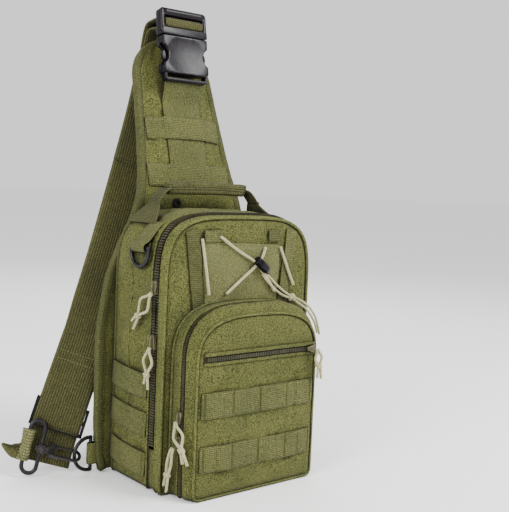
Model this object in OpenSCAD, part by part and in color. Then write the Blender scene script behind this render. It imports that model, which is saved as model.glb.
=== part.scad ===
// Sling bag: one shoulder pad, one crossbody strap, a main compartment and a front pocket.
// Frame: origin at the centre of the base, +X to the bag's left-hand side as it faces the viewer,
// -Y to the front, +Z up.

/* [Main compartment] */
// Width of the main compartment
main_w = 190; // [180:1:200]
// Height of the main compartment at its crown
main_h = 274; // [270:1:276]
// Distance of the front panel ahead of the origin
main_front = 42.5; // [40:0.5:43]
// Thickness of the sewn fabric walls
wall = 2.5; // [2:0.1:3]

/* [Front pocket] */
// Width of the front pocket at its seam
pocket_w = 168; // [160:1:170]
// Height of the front pocket
pocket_h = 187; // [184:1:188]
// Distance of the pocket face ahead of the origin
pocket_front = 75; // [74:0.5:76]

/* [Back panel and shoulder pad] */
// Thickness of the padded back panel
panel_t = 8; // [7:0.5:9]
// Thickness of the padded shoulder pad
pad_t = 10; // [8:0.5:11]
// Length of the shoulder pad along its slope
pad_len = 175; // [170:1:178]
// Lean of the shoulder pad away from the front
pad_lean = 16.7; // [15:0.1:18]

/* [Webbing] */
// Width of the shoulder webbing
strap_w = 50; // [46:1:50]
// Thickness of the webbing
web_t = 2; // [1.6:0.1:2.2]
// Height of the load-bearing bands
band_h = 25; // [23:0.5:26]

/* [Hardware] */
// Wire diameter of the D-rings
ring_wire = 4; // [3.5:0.1:4.2]
// Inner width of the upper D-rings
upper_ring_w = 25; // [23:0.5:26]
// Inner width of the lower D-rings
lower_ring_w = 30; // [28:0.5:31]
// Width of the shoulder buckle
buckle_w = 60; // [58:1:62]

/* [Cords] */
// Diameter of the shock cord
bungee_d = 3; // [2.5:0.1:3.2]
// Diameter of the pull cords
pull_d = 2.8; // [2.4:0.1:2.8]

/* [Hidden] */
$fn = 48;

OLIVE = "#6b6a3c";
OLIVE_DARK = "#55552f";
WEBBING = "#62633a";
KHAKI = "#7c7a4e";
CORD = "#b9ae86";
BLACK = "#1b1b1d";
CHARCOAL = "#3b3b3f";
BROWN = "#4a4130";

gap = 0.3;                          // free play between bodies that move past each other
main_hw = main_w / 2;
main_straight = 190;                // height at which the sides start to curve in
crown = 4;                          // squareness of the main compartment's crown
hinge_z = 191;                      // the fold of the front flap
zip_half = 6;                       // width of one side of the zip tape
zip_y = -27;                        // plane of the main zip's teeth
zip_end_z = 45;                     // where the main zip ends near the base
pocket_hw = pocket_w / 2;
pocket_straight = 128;
pocket_crown = 3;
pocket_zip_y = -60;                 // plane of the pocket zip's teeth
pocket_zip_half = 3;
pocket_floor = 1;                   // lowest height of the pocket's opening half
panel_y = 45;                       // front face of the back panel
panel_top = 290;                    // where the pad starts to lean back
panel_back = panel_y + panel_t;
bind_t = 1.5;                       // thickness of the edge binding outside the panel
strap_t = 2.4;

// Half-width of the back panel and pad against height, along the pad's own slope above the lean
SIDE_PROFILE = [[0, 103], [12, 110], [60, 112], [150, 112], [203, 103], [240, 88], [262, 75], [290, 66],
    [320, 60], [377, 54], [430, 50], [470, 49]];
function side_at(z) = (lookup(z - 8, SIDE_PROFILE) + lookup(z, SIDE_PROFILE) + lookup(z + 8, SIDE_PROFILE)) / 3;

// ---------- outlines and walls ----------

// Points of a tombstone outline: straight sides up to zs, then a superellipse to the crown at zt
function arch_points(hw, zb, zs, zt, e, n = 40) = concat(
    [[hw, zb]],
    [for (i = [0:n]) let (a = 180 * i / n, c = cos(a), s = sin(a))
        [sign(c) * hw * pow(abs(c), 2 / e), zs + (zt - zs) * pow(abs(s), 2 / e)]],
    [[-hw, zb]]);

// A solid with an outline drawn in X and Z, from y0 back to y1
module slab(y0, y1) translate([0, y1, 0]) rotate([90, 0, 0]) linear_extrude(y1 - y0) children();

module main_slab(y0, y1, inset = 0, zb = 0)
    slab(y0, y1) polygon(arch_points(main_hw - inset, zb, main_straight, main_h - inset, crown));

module pocket_slab(y0, y1, inset = 0, zb = 0)
    slab(y0, y1) polygon(arch_points(pocket_hw - inset, zb, pocket_straight, pocket_h - inset, pocket_crown));

module main_ring(y0, y1, t = wall, zb = 0) difference() {
    main_slab(y0, y1, 0, zb);
    main_slab(y0 - 1, y1 + 1, t, zb + t);
}

module pocket_ring(y0, y1, inset = 0, t = 2, zb = 0) difference() {
    pocket_slab(y0, y1, inset, zb);
    pocket_slab(y0 - 1, y1 + 1, inset + t, zb + t);
}

// Keeps what lies between two heights
module between(z0, z1) intersection() {
    translate([-200, -200, z0]) cube([400, 400, z1 - z0]);
    children();
}

// Outline of the back panel, or of the pad in its own plane, between two heights
module panel_outline(z0, z1, inset = 0, step = 8) {
    n = ceil((z1 - z0) / step);
    heights = [for (i = [0:n]) z0 + (z1 - z0) * i / n];
    polygon(concat(
        [for (z = heights) [side_at(z) - inset, z]],
        [for (i = [n:-1:0]) [-side_at(heights[i]) + inset, heights[i]]]));
}

// The pad's outline: it follows the side profile and ends in a round top
module pad_outline(inset = 0) {
    r = side_at(panel_top + pad_len) - 4;
    top = pad_len - r;
    translate([0, -panel_top]) panel_outline(panel_top, panel_top + top, inset);
    translate([0, top]) difference() {
        circle(r + 4 - inset, $fn = 64);
        translate([-100, -200]) square([200, 200]);
    }
}

// Places children in the pad's own frame: x across, y through, z up along the slope
module on_pad() translate([0, panel_y, panel_top]) rotate([-pad_lean, 0, 0]) children();

// Everything above the pad's lower plane, used to end the back panel against the pad
module pad_side() on_pad() translate([-150, -50, 0]) cube([300, 100, 60]);

// A block with its lowest corner and its size, softened along X by round edges
module soft_bar(size, r) hull()
    for (y = [r, size[1] - r], z = [r, size[2] - r])
        translate([0, y, z]) rotate([0, 90, 0]) cylinder(r = r, h = size[0], $fn = 24);

// ---------- swept ribbons and cords ----------

// Point on a smooth curve through the rows of a route, t counted in rows
function on_route(route, t) =
    let (n = len(route) - 1, i = min(floor(t), n - 1), u = t - i,
         a = route[max(i - 1, 0)], b = route[i], c = route[i + 1], d = route[min(i + 2, n)])
    0.5 * ((2 * b) + (c - a) * u + (2 * a - 5 * b + 4 * c - d) * u * u + (3 * b - a - 3 * c + d) * u * u * u);

function xyz(p) = [p[0], p[1], p[2]];
function unit(v) = v / norm(v);
function heading(route, t) = let (n = len(route) - 1, lo = max(t - 0.05, 0), hi = min(t + 0.05, n))
    unit(xyz(on_route(route, hi)) - xyz(on_route(route, lo)));

// Faces of a tube of n rings with k points each
function tube_faces(n, k) = concat(
    [[for (j = [0:k - 1]) j]],
    [for (i = [0:n - 2], j = [0:k - 1], half = [0, 1])
        let (a = i * k + j, b = i * k + (j + 1) % k, c = a + k, d = b + k) half == 0 ? [a, c, d] : [a, d, b]],
    [[for (j = [k - 1:-1:0]) (n - 1) * k + j]]);

// Flat webbing along a route of [x, y, z, turn of the width about Z]
module ribbon(route, w = strap_w, t = strap_t, per = 4, lift = 0) {
    rings = (len(route) - 1) * per;
    points = [for (i = [0:rings])
        let (s = i / per, p = on_route(route, s), h = heading(route, s),
             flat = [cos(p[3]), sin(p[3]), 0], across = unit(flat - h * (flat * h)), out = cross(h, across))
        for (c = [[-1, -1], [1, -1], [1, 1], [-1, 1]])
            xyz(p) + across * (c[0] * w / 2) + out * (c[1] * t / 2 + lift)];
    polyhedron(points, tube_faces(rings + 1, 4), convexity = 6);
}

// Round cord along a route of [x, y, z]
module cord(route, d, per = 2, k = 8) {
    rings = (len(route) - 1) * per;
    points = [for (i = [0:rings])
        let (s = i / per, p = on_route(route, s), h = heading(route, s),
             ref = abs(h[1]) < 0.9 ? [0, 1, 0] : [1, 0, 0], a = unit(cross(h, ref)), b = cross(h, a))
        for (j = [0:k - 1]) xyz(p) + (a * cos(360 * j / k) + b * sin(360 * j / k)) * d / 2];
    polyhedron(points, tube_faces(rings + 1, k), convexity = 6);
}

// ---------- the strap's routes ----------

// The front layer, from behind the pad down to the adjuster, and its sewn end on the adjuster
STRAP_FRONT = [[0.5, 109, 460, 0], [-1, 108.5, 452, 0], [-10, 103.5, 425, -4], [-22, 98, 387, -8], [-44, 91, 320, -12],
    [-75, 82.5, 230, -14], [-98, 76.5, 172, -18], [-105.5, 74.8, 153, -20]];
STRAP_SEWN_END = [[-113, 73.3, 132, -22], [-122.8, 71.9, 108, -23], [-134.6, 70.2, 79, -24], [-147, 69, 47, -25]];
// The rear layer, which runs on through the adjuster to the hook
STRAP_REAR = [[0.5, 112.2, 460, 0], [-1, 111.8, 452, 0], [-10, 106.8, 425, -4], [-21.5, 101.3, 387, -8],
    [-43.3, 94.2, 320, -12], [-74, 85.8, 230, -14], [-96.5, 80.5, 172, -18], [-106, 80.5, 141, -21],
    [-110.5, 79.8, 130, -22], [-127.2, 77.6, 88, -24], [-142, 76, 50, -24], [-151, 74.5, 27, -26],
    [-156.5, 73.5, 10, -27]];
// Through the slot of the buckle's upper half, round its inner bar
TOP_LOOP = [[-1, 112.4, 447, 0], [0, 111.8, 457, 0], [0, 108, 474, 0], [0, 94, 482, 0], [0, 78, 482, 0],
    [0, 69.5, 476, 0], [0, 79, 470.5, 0], [0, 94, 472, 0], [0, 105.5, 467, 0], [0, 109, 457, 0], [-1, 109.4, 447, 0]];
strap_split = 452;                  // height at which the two layers pass into the buckle's loop
// Up the pad's front, under the bands and out to the buckle's lower bar
PAD_WEB = [[0, 44.6, 294, 0], [0, 57, 334, 0], [0, 68.5, 372, 0], [0, 70, 392, 0], [0, 67.5, 408, 0],
    [0, 66, 418, 0]];

// ---------- hinge lines and hardware places ----------

RING_UPPER = [98.8, -3, 238];       // bar of an upper D-ring
RING_LOWER = [116.5, 50, 21];       // bar of a lower D-ring
HANDLE_AXIS = [0, 20, 282];
BUCKLE = [0, 66, 417];
buckle_lean = -9;
hook_yaw = 150;                     // heading of the hook, from the ring to the strap
hook_pitch = 13;
HOOK = [-135.5, 50, 21];            // centre of the ring's wire inside the hook
hook_roll = -30;
eye_roll = 8;
EYE_LONG = 58;
eye_near = 35;                      // distance from the ring's wire to the eye's near bar
eye_wide = 15;

MAIN_SLIDERS = [[-main_hw, zip_y, 201], [-main_hw, zip_y, 148]];
POCKET_SLIDERS = [[-pocket_hw, -58.5, 80], [-pocket_hw, -58.5, 56]];
small_zip_z = 137;
SMALL_SLIDER = [68, -pocket_front - 2.2, small_zip_z];

// ---------- back panel, pad and webbing ----------

module back_panel() color(KHAKI) difference() {
    slab(panel_y, panel_back) panel_outline(0, 296, bind_t);
    pad_side();
    slab(panel_y + 2, panel_back - 2) panel_outline(14, 270, 16);
}

module foam_inserts() color("#d9d4c0") {
    slab(panel_y + 2, panel_back - 2) panel_outline(14, 270, 16);
    on_pad() slab(2, pad_t - 2) translate([0, -panel_top]) panel_outline(panel_top + 12, panel_top + 120, 14);
}

module mesh_panel() color(CHARCOAL)
    slab(panel_back, panel_back + 3.5) polygon(arch_points(80, 10, 150, 262, 2.2));

module edge_binding() color(OLIVE_DARK) {
    difference() {
        slab(panel_y - 0.8, panel_back + 0.8) panel_outline(0, 296);
        slab(panel_y - 2, panel_back + 2) panel_outline(-1, 297, 6);
        slab(panel_y, panel_back) panel_outline(0, 296, bind_t);
        pad_side();
        translate([-main_hw, -100, -1]) cube([main_w, 100 + panel_y + 0.1, main_h + 1]);
    }
    on_pad() difference() {
        slab(-0.8, pad_t + 0.8) pad_outline();
        slab(-2, pad_t + 2) pad_outline(6);
        slab(0, pad_t) pad_outline(bind_t);
    }
}

module shoulder_pad() color(OLIVE) on_pad() difference() {
    slab(0, pad_t) pad_outline(bind_t);
    slab(2, pad_t - 2) translate([0, -panel_top]) panel_outline(panel_top + 12, panel_top + 120, 14);
}

// Two bands sewn flat at their ends, with a raised middle that the webbing passes under
module pad_bands() color(WEBBING) on_pad() for (z = [8.5, 60.5]) {
    hw = side_at(panel_top + z + band_h) - 7;
    bridge = strap_w / 2 + 3;
    rise = web_t + 3.2;
    for (x = [-hw, bridge]) translate([x, -web_t, z]) cube([hw - bridge, web_t, band_h]);
    difference() {
        translate([-bridge, -rise, z]) cube([2 * bridge, rise, band_h]);
        translate([-strap_w / 2 - 0.5, -rise + web_t, z - 1]) cube([strap_w + 1, rise, band_h + 2]);
    }
}

module pad_webbing() color(WEBBING) difference() {
    ribbon(PAD_WEB, strap_w, web_t);
    on_pad() translate([-100, 0, -50]) cube([200, 50, 300]);
    buckle_frame() translate([-40, -20, -5]) cube([80, 40, 40]);
}

module cable_eyelet() color(BLACK) translate([-20, panel_y, 281]) rotate([90, 0, 0]) difference() {
    cylinder(r = 5, h = 1.5);
    translate([0, 0, -1]) cylinder(r = 2.5, h = 4);
}

module back_tab() color(OLIVE_DARK)
    translate([-35, panel_back + 3.5, 10]) cube([49, web_t, 62]);

// ---------- main compartment ----------

module main_gusset() color(OLIVE) main_ring(zip_y + zip_half, panel_y);

module lower_front() color(OLIVE) between(0, hinge_z - 0.6) {
    difference() {
        main_slab(-main_front, zip_y - zip_half);
        main_slab(-main_front + wall, 0, wall, wall);
    }
    between(0, zip_end_z) main_ring(zip_y - zip_half, zip_y + zip_half);
}

module main_zip() color(BROWN) {
    between(zip_end_z, main_h + 1) main_ring(zip_y, zip_y + zip_half, 2);
    between(zip_end_z, hinge_z - 0.6) main_ring(zip_y - zip_half, zip_y - gap, 2);
}

module flap_zip() color(BROWN)
    between(hinge_z, main_h + 1) main_ring(zip_y - zip_half, zip_y - gap, 2);

module front_flap() color(OLIVE) between(hinge_z, main_h + 1) difference() {
    main_slab(-main_front, zip_y - zip_half);
    main_slab(-main_front + wall, 0, wall);
}

module side_bands() color(WEBBING) for (side = [-1, 1], z = [14, 54, 92])
    translate([side > 0 ? main_hw : -main_hw - web_t, zip_y + zip_half + 2, z])
        cube([web_t, panel_y - zip_y - zip_half - 2 - 0.8, band_h]);

module inner_pocket() color(OLIVE_DARK) difference() {
    translate([-70, panel_y - 6, wall]) cube([140, 6, 140]);
    translate([-68.5, panel_y - 4.8, wall + 1.5]) cube([137, 4.8, 140]);
}

// ---------- front pocket ----------

module pocket_gusset() color(OLIVE) pocket_ring(pocket_zip_y + pocket_zip_half, -main_front);

module pocket_zip_rear() color(BROWN) pocket_ring(pocket_zip_y, pocket_zip_y + pocket_zip_half);

module pocket_zip_front() color(BROWN)
    pocket_ring(pocket_zip_y - pocket_zip_half, pocket_zip_y - gap, 0, 2, pocket_floor);

// The pocket's opening half tapers towards its face
module pocket_shell(inset, y_face) hull() {
    pocket_slab(pocket_zip_y - pocket_zip_half - 0.01, pocket_zip_y - pocket_zip_half, inset, pocket_floor + inset);
    slab(y_face, y_face + 0.01)
        polygon(arch_points(pocket_hw - 7 - inset, pocket_floor + inset, pocket_straight - 6, pocket_h - 12 - inset,
            pocket_crown));
}

module pocket_face() color(OLIVE) difference() {
    pocket_shell(0, -pocket_front);
    pocket_shell(2, -pocket_front + 2);
}

module pocket_bands() color(WEBBING) for (z = [28, 80])
    translate([-74, -pocket_front - web_t, z]) cube([148, web_t, band_h]);

module small_zip() color(BROWN) translate([-62, -pocket_front - 2, small_zip_z - 4.5]) cube([134, 2, 9]);

// ---------- loop patch, lacing and shock cord ----------

module loop_patch() color(KHAKI) slab(-main_front - 1.2, -main_front)
    polygon([[-46, hinge_z + 2], [-55, 246], [49, 242], [48, hinge_z + 2]]);

module lacing_straps() color(WEBBING) {
    for (s = [-1, 1]) slab(-main_front - web_t, -main_front)
        polygon([[s * 62, hinge_z + 1], [s * 74, 256], [s * 60, 259], [s * 49, hinge_z + 1]]);
    for (x = [-46, 34]) translate([x, -main_front - web_t, 247]) cube([13, web_t, 13]);
}

LOCK = [20, -main_front - 7, 222];
LOCK_TURN = [0, 128, 0];
lock_r = 4.6;
cord_y = -main_front - 4;

module bungee_cord() color(CORD) {
    cord([[-56, cord_y, 249], [-50, cord_y, 220], [-45, cord_y, 194]], bungee_d);
    cord([[-33, cord_y, 251], [-10, cord_y - 0.4, 237], [14, cord_y - 1, 224.5]], bungee_d, 1);
    cord([[-23, cord_y, 194], [-4, cord_y - 0.4, 208], [13.4, cord_y - 1, 220.6]], bungee_d, 1);
    cord([[22, cord_y - 1, 229], [27, cord_y, 240]], bungee_d, 1);
    cord([[29.5, cord_y - 1, 210], [42, cord_y, 194]], bungee_d, 1);
    cord([[48, cord_y, 240], [60, cord_y, 216], [69, cord_y, 199]], bungee_d, 1);
}

module bungee_tail() color(CORD) {
    cord([[67, -47, 186.5], [76, -47, 183], [88, -50, 176], [97, -54, 162], [100, -57, 145]], bungee_d);
    translate([66.5, -47.2, 186.5]) sphere(r = 4, $fn = 10);
}

// The lock's barrel: the cords pass behind it, and the button sinks into its upper end
module cord_lock() color(BLACK) translate(LOCK) rotate(LOCK_TURN) difference() {
    translate([0, 0, -9]) cylinder(r = lock_r, h = 18);
    translate([0, 0, 1]) cylinder(r = 3.4, h = 9);
}

module lock_button() color(OLIVE_DARK) translate(LOCK) rotate(LOCK_TURN)
    translate([0, 0, 5]) cylinder(r = 3.1, h = 8);

// ---------- zip sliders and pulls ----------

// A slider on a surface that faces -Y, its nose up, with the bail standing proud
module slider(size = 1) {
    translate([-4.5 * size, -2.6 * size - gap, -7 * size]) cube([9 * size, 2.6 * size, 14 * size]);
    translate([-1.5 * size, -4.6 * size - gap, -5 * size]) cube([3 * size, 2.2 * size, 9 * size]);
}

// A pull cord below its bail: a loop, a knot and two tails, in the plane of X and Z
module pull(long = 34, wide = 16, tails = [17, 20], splay = 4) {
    y = -6.6;
    cord([[0, y, 0], [-wide / 2, y, -long * 0.5], [-1, y, -long]], pull_d, 3);
    cord([[0.5, y + 0.2, -0.4], [wide / 2, y, -long * 0.5], [1, y, -long]], pull_d, 3);
    translate([0, y, -long - 1]) sphere(r = 3.4, $fn = 10);
    cord([[-1.6, y, -long - 2], [-splay, y, -long - tails[0]]], pull_d, 1);
    cord([[1.6, y, -long - 2], [splay * 0.8, y, -long - tails[1]]], pull_d, 1);
}

// Puts a piece that faces -Y at a place on the bag's left-hand wall, facing -X
module on_side(place) translate(place) rotate([0, 0, -90]) children();

module main_slider_upper() color(BROWN) on_side(MAIN_SLIDERS[0]) slider();
module main_slider_lower() color(BROWN) on_side(MAIN_SLIDERS[1]) mirror([0, 0, 1]) slider();
module pocket_slider_upper() color(BROWN) on_side(POCKET_SLIDERS[0]) slider(0.85);
module pocket_slider_lower() color(BROWN) on_side(POCKET_SLIDERS[1]) mirror([0, 0, 1]) slider(0.85);
module small_zip_slider() color(BROWN) translate(SMALL_SLIDER) rotate([0, 90, 0]) slider(0.8);

module main_pull_upper() color(CORD) on_side(MAIN_SLIDERS[0] + [0, 0, -5.5]) rotate([0, 40, 0]) pull(30, 15, [13, 17]);
module main_pull_lower() color(CORD) on_side(MAIN_SLIDERS[1] + [0, 0, -5.5]) rotate([0, 4, 0]) pull(25, 14, [11, 15]);
module pocket_pull_upper() color(CORD) on_side(POCKET_SLIDERS[0] + [0, 0, -4.5]) rotate([0, -18, 0]) pull(25, 15, [13, 16]);
module pocket_pull_lower() color(CORD) on_side(POCKET_SLIDERS[1] + [-3, 0, -5])
    rotate([0, 12, 0]) pull(26, 6, [14, 18], 3);
module small_zip_pull() color(CORD) translate(SMALL_SLIDER + [4, 0, -1]) rotate([0, -8, 0]) pull(16, 9, [9, 12], 3);

// ---------- rings, tabs, handle ----------

// A D-ring below its bar: the bar lies along X, the bow hangs down
module d_ring(w, leg, d) {
    r = w / 2 + d / 2;
    translate([-r, 0, 0]) rotate([0, 90, 0]) cylinder(d = d, h = 2 * r);
    for (s = [-1, 1]) translate([s * r, 0, -leg]) cylinder(d = d, h = leg);
    for (s = [-1, 1]) translate([s * r, 0, 0]) sphere(d = d);
    translate([0, 0, -leg]) rotate([90, 0, 0]) rotate([0, 0, 180]) rotate_extrude(angle = 180)
        translate([r, 0]) circle(d = d);
}

module upper_ring(side) color(BLACK)
    translate([side * RING_UPPER[0], RING_UPPER[1], RING_UPPER[2]]) rotate([0, 0, 90])
        d_ring(upper_ring_w, 4, ring_wire);

module lower_ring(side) color(BLACK)
    translate([side * RING_LOWER[0], RING_LOWER[1], RING_LOWER[2]]) rotate([0, side > 0 ? -90 : 90, 0])
        d_ring(lower_ring_w, 2, ring_wire);

module ring_upper_left() upper_ring(-1);
module ring_upper_right() upper_ring(1);
module ring_lower_left() lower_ring(-1);
module ring_lower_right() lower_ring(1);

module ring_tabs() color(WEBBING) for (side = [-1, 1]) {
    difference() {
        translate([side * RING_UPPER[0] - (side > 0 ? 14 : 4), RING_UPPER[1] - 11, RING_UPPER[2] - 4])
            cube([18, 22, 22]);
        main_slab(-50, 60);
        translate([side * (main_hw + 7.8), 0, RING_UPPER[2] + 12]) rotate([0, side * 28, 0])
            translate([-10 + side * 9.5, -30, -4]) cube([20, 60, 40]);
        translate([side * RING_UPPER[0], 50, RING_UPPER[2]]) rotate([90, 0, 0])
            cylinder(r = ring_wire / 2 + gap, h = 100);
    }
    difference() {
        translate([side > 0 ? side_at(21) : -RING_LOWER[0] - 4, RING_LOWER[1] - 4, RING_LOWER[2] - 11])
            cube([RING_LOWER[0] + 4 - side_at(21), 8, 22]);
        slab(panel_y - 1, panel_back + 1) panel_outline(0, 60);
        translate([side * RING_LOWER[0], RING_LOWER[1], 0]) cylinder(r = ring_wire / 2 + gap, h = 60);
    }
}

module handle_anchors() color(WEBBING) for (side = [-1, 1]) difference() {
    hull() {
        translate([side * 80 - 3.5, 0, 262]) cube([7, 40, 3.5]);
        translate([side * 68.5 - 1.5, HANDLE_AXIS[1] - 9, 276]) cube([3, 18, 1]);
    }
    main_slab(-50, 60);
}

module handle() color(OLIVE_DARK) {
    for (side = [-1, 1]) hull() {
        translate([side * 66 - 1.5, HANDLE_AXIS[1], HANDLE_AXIS[2]]) rotate([0, 90, 0])
            cylinder(r = 4, h = 3, $fn = 24);
        translate([side * 55 - 1.5, HANDLE_AXIS[1] - 4, HANDLE_AXIS[2] + 7]) cube([3, 8, 14]);
    }
    translate([-54, HANDLE_AXIS[1] - 3.5, HANDLE_AXIS[2] + 7]) soft_bar([108, 7, 14], 2);
}

// ---------- buckle, adjuster and hook ----------

module buckle_frame() translate(BUCKLE) rotate([buckle_lean, 0, 0]) children();

prong_z = 43;                       // height of the prongs' roots in the buckle's own frame

// The half-round notches in the sides of the buckle's lower half
module side_notches(r) for (s = [-1, 1]) translate([s * 34, 0, 23]) rotate([90, 0, 0])
    cylinder(r = r, h = 40, center = true);

module buckle_female() color(BLACK) buckle_frame() difference() {
    union() {
        translate([-buckle_w / 2 + 1, -7, 2]) cube([buckle_w - 2, 13, 42]);
        translate([-27, -5, -5]) cube([54, 8, 7]);
    }
    translate([-27.2, -3.2, 8]) cube([54.4, 5.4, 40]);
    side_notches(10.5);
    translate([-50, -3.2, 23]) cube([100, 5.4, 30]);
    translate([-25.5, -10, -1.5]) cube([51, 20, 3.4]);
}

module buckle_male() color(BLACK) buckle_frame() difference() {
    union() {
        translate([-18, -2.6, 10]) cube([36, 4.2, 36]);
        translate([-buckle_w / 2 - 0.5, -7, 44.4]) cube([buckle_w + 1, 13, 8]);
        for (s = [-1, 1]) translate([s * (buckle_w / 2 - 2) - 2.5, -6, 52.4]) cube([5, 10, 16]);
        translate([-buckle_w / 2 + 1, -6, 68]) cube([buckle_w - 2, 10, 5]);
        translate([-27, -2, 58.5]) cube([54, 3, 3]);
    }
    translate([-14, -5, 16]) cube([28, 10, 22]);
    for (s = [-1, 1]) translate([s * 21, 0, prong_z]) rotate([90, 0, 0]) cylinder(r = 3.2, h = 30, center = true);
}

// A sprung arm beside the plug, with its latch in the side window
module prong(side) color(BLACK) buckle_frame() {
    translate([side * 21, 1.4, prong_z]) rotate([90, 0, 0]) cylinder(r = 2.8, h = 4);
    translate([side * 22.5 - 1.5, -2.6, 16]) cube([3, 4, 26]);
    translate([side > 0 ? 23 : -29.5, -2.6, 16]) cube([6.5, 4, 12]);
}
module prong_left() prong(-1);
module prong_right() prong(1);

module strap_top_loop() color(WEBBING) between(strap_split + 2 * gap, 500) ribbon(TOP_LOOP, strap_w, web_t, 3);

module strap_front() color(WEBBING) between(0, strap_split) ribbon(STRAP_FRONT);

module strap_rear() color(WEBBING) between(0, strap_split) ribbon(STRAP_REAR, strap_w, web_t);

// Places children on a route: x across the webbing, y out of its back, z back up the route
module on_strap(route, t) {
    p = on_route(route, t);
    h = heading(route, t);
    flat = [cos(p[3]), sin(p[3]), 0];
    across = unit(flat - h * (flat * h));
    back = cross(-h, across);
    multmatrix([[across[0], back[0], -h[0], p[0]], [across[1], back[1], -h[1], p[1]],
        [across[2], back[2], -h[2], p[2]], [0, 0, 0, 1]]) children();
}

adjuster_at = 2.6;                  // the slide's place, in rows of its route
adjuster_w = 57;
adjuster_h = 30;
adjuster_t = 3;
adjuster_bar = 4;

// A three-bar slide between the two layers; the front layer ends round its lowest bar
module adjuster() color(BLACK) on_strap(STRAP_SEWN_END, adjuster_at) translate([0, strap_t / 2 + gap, 0]) difference() {
    slot_h = (adjuster_h - 3 * adjuster_bar) / 2;
    translate([-adjuster_w / 2, 0, -adjuster_h / 2]) cube([adjuster_w, adjuster_t, adjuster_h]);
    for (z = [adjuster_bar / 2, -adjuster_bar / 2 - slot_h])
        translate([-strap_w / 2 - 0.6, -1, z]) cube([strap_w + 1.2, adjuster_t + 2, slot_h]);
}

module adjuster_strap_end() color(WEBBING) {
    ribbon(STRAP_SEWN_END);
    on_strap(STRAP_SEWN_END, adjuster_at) translate([-strap_w / 2, strap_t / 2, 2 - adjuster_h / 2 + adjuster_bar])
        cube([strap_w, gap + adjuster_t, 1.4]);
}

module at_hook() translate(HOOK) rotate([0, -hook_pitch, hook_yaw]) children();

hook_bow = 6.5;                     // centre-line radius of the hook's bow
hook_rod = 1.7;
gate_x = 21;

module snap_hook() color(BLACK) at_hook() rotate([hook_roll, 0, 0]) {
    translate([1, 0, 0]) rotate([0, 0, 90]) rotate_extrude(angle = 180) translate([hook_bow, 0]) circle(r = hook_rod);
    translate([1, hook_bow, 0]) rotate([0, 90, 0]) cylinder(r = hook_rod, h = 22);
    difference() {
        translate([20, -7.6, -3]) cube([7, 15.2, 6]);
        translate([0, -9, -1.9]) cube([24.4, 6, 3.8]);
    }
    translate([27, 0, 0]) rotate([0, 90, 0]) cylinder(r = 4, h = 4.2);
    translate([31, 0, 0]) rotate([0, 90, 0]) cylinder(r = 1.9, h = 8);
    translate([38.2, 0, 0]) rotate([0, 90, 0]) cylinder(r = 3, h = 2);
}

module hook_gate() color(BLACK) at_hook() rotate([hook_roll, 0, 0]) {
    translate([3, -hook_bow, 0]) rotate([0, 90, 0]) cylinder(r = 1.4, h = gate_x - 3);
    translate([gate_x, -hook_bow, -1.5]) cylinder(r = 2.2, h = 3);
}

module hook_eye() color(BLACK) at_hook() rotate([eye_roll, 0, 0]) difference() {
    union() {
        r = eye_wide / 2;
        straight = EYE_LONG / 2 - r - 2.2;
        for (x = [eye_near, eye_near + eye_wide]) translate([x, 0, -straight]) cylinder(r = 2.2, h = 2 * straight);
        for (s = [-1, 1]) translate([eye_near + r, 0, s * straight]) rotate([90, 0, 0])
            rotate([0, 0, s > 0 ? 0 : 180]) rotate_extrude(angle = 180) translate([r, 0]) circle(r = 2.2);
        translate([31.6, 0, 0]) rotate([0, 90, 0]) cylinder(r = 5.6, h = 6.2);
    }
    translate([20, 0, 0]) rotate([0, 90, 0]) cylinder(r = 1.95, h = 40);
}

// Webbing bunched round the eye's far bar, with its cut tail
module strap_wrap() color(KHAKI) at_hook() rotate([eye_roll, 0, 0]) difference() {
    union() {
        translate([eye_near + eye_wide - 5, -5.5, -15]) cube([12, 11, 32]);
        hull() {
            translate([eye_near + eye_wide + 5, 0, -12]) cube([2, 4, 20]);
            translate([eye_near + eye_wide + 20, 4, -3]) cube([2, 2, 9]);
        }
    }
    translate([eye_near + eye_wide, 0, -40]) cylinder(r = 2.2, h = 80);
}

back_panel();
foam_inserts();
mesh_panel();
edge_binding();
shoulder_pad();
pad_bands();
pad_webbing();
cable_eyelet();
back_tab();
main_gusset();
lower_front();
main_zip();
side_bands();
inner_pocket();
ring_tabs();
handle_anchors();
pocket_gusset();
pocket_zip_rear();
strap_front();
strap_rear();
strap_wrap();
hook_eye();
buckle_female();
bungee_tail();
front_flap();
flap_zip();
loop_patch();
lacing_straps();
bungee_cord();
cord_lock();
lock_button();
pocket_face();
pocket_zip_front();
pocket_bands();
small_zip();
main_slider_upper();
main_slider_lower();
pocket_slider_upper();
pocket_slider_lower();
small_zip_slider();
main_pull_upper();
main_pull_lower();
pocket_pull_upper();
pocket_pull_lower();
small_zip_pull();
ring_upper_left();
ring_upper_right();
ring_lower_left();
ring_lower_right();
handle();
buckle_male();
prong_left();
prong_right();
strap_top_loop();
adjuster();
adjuster_strap_end();
snap_hook();
hook_gate();
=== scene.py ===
"""A sling bag: the looks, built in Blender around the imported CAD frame.

Lengths are in millimetres until a mesh is made.
"""
import math

import bmesh
import bpy
import numpy as np
from mathutils import Matrix, Vector, noise
from mathutils.bvhtree import BVHTree


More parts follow.
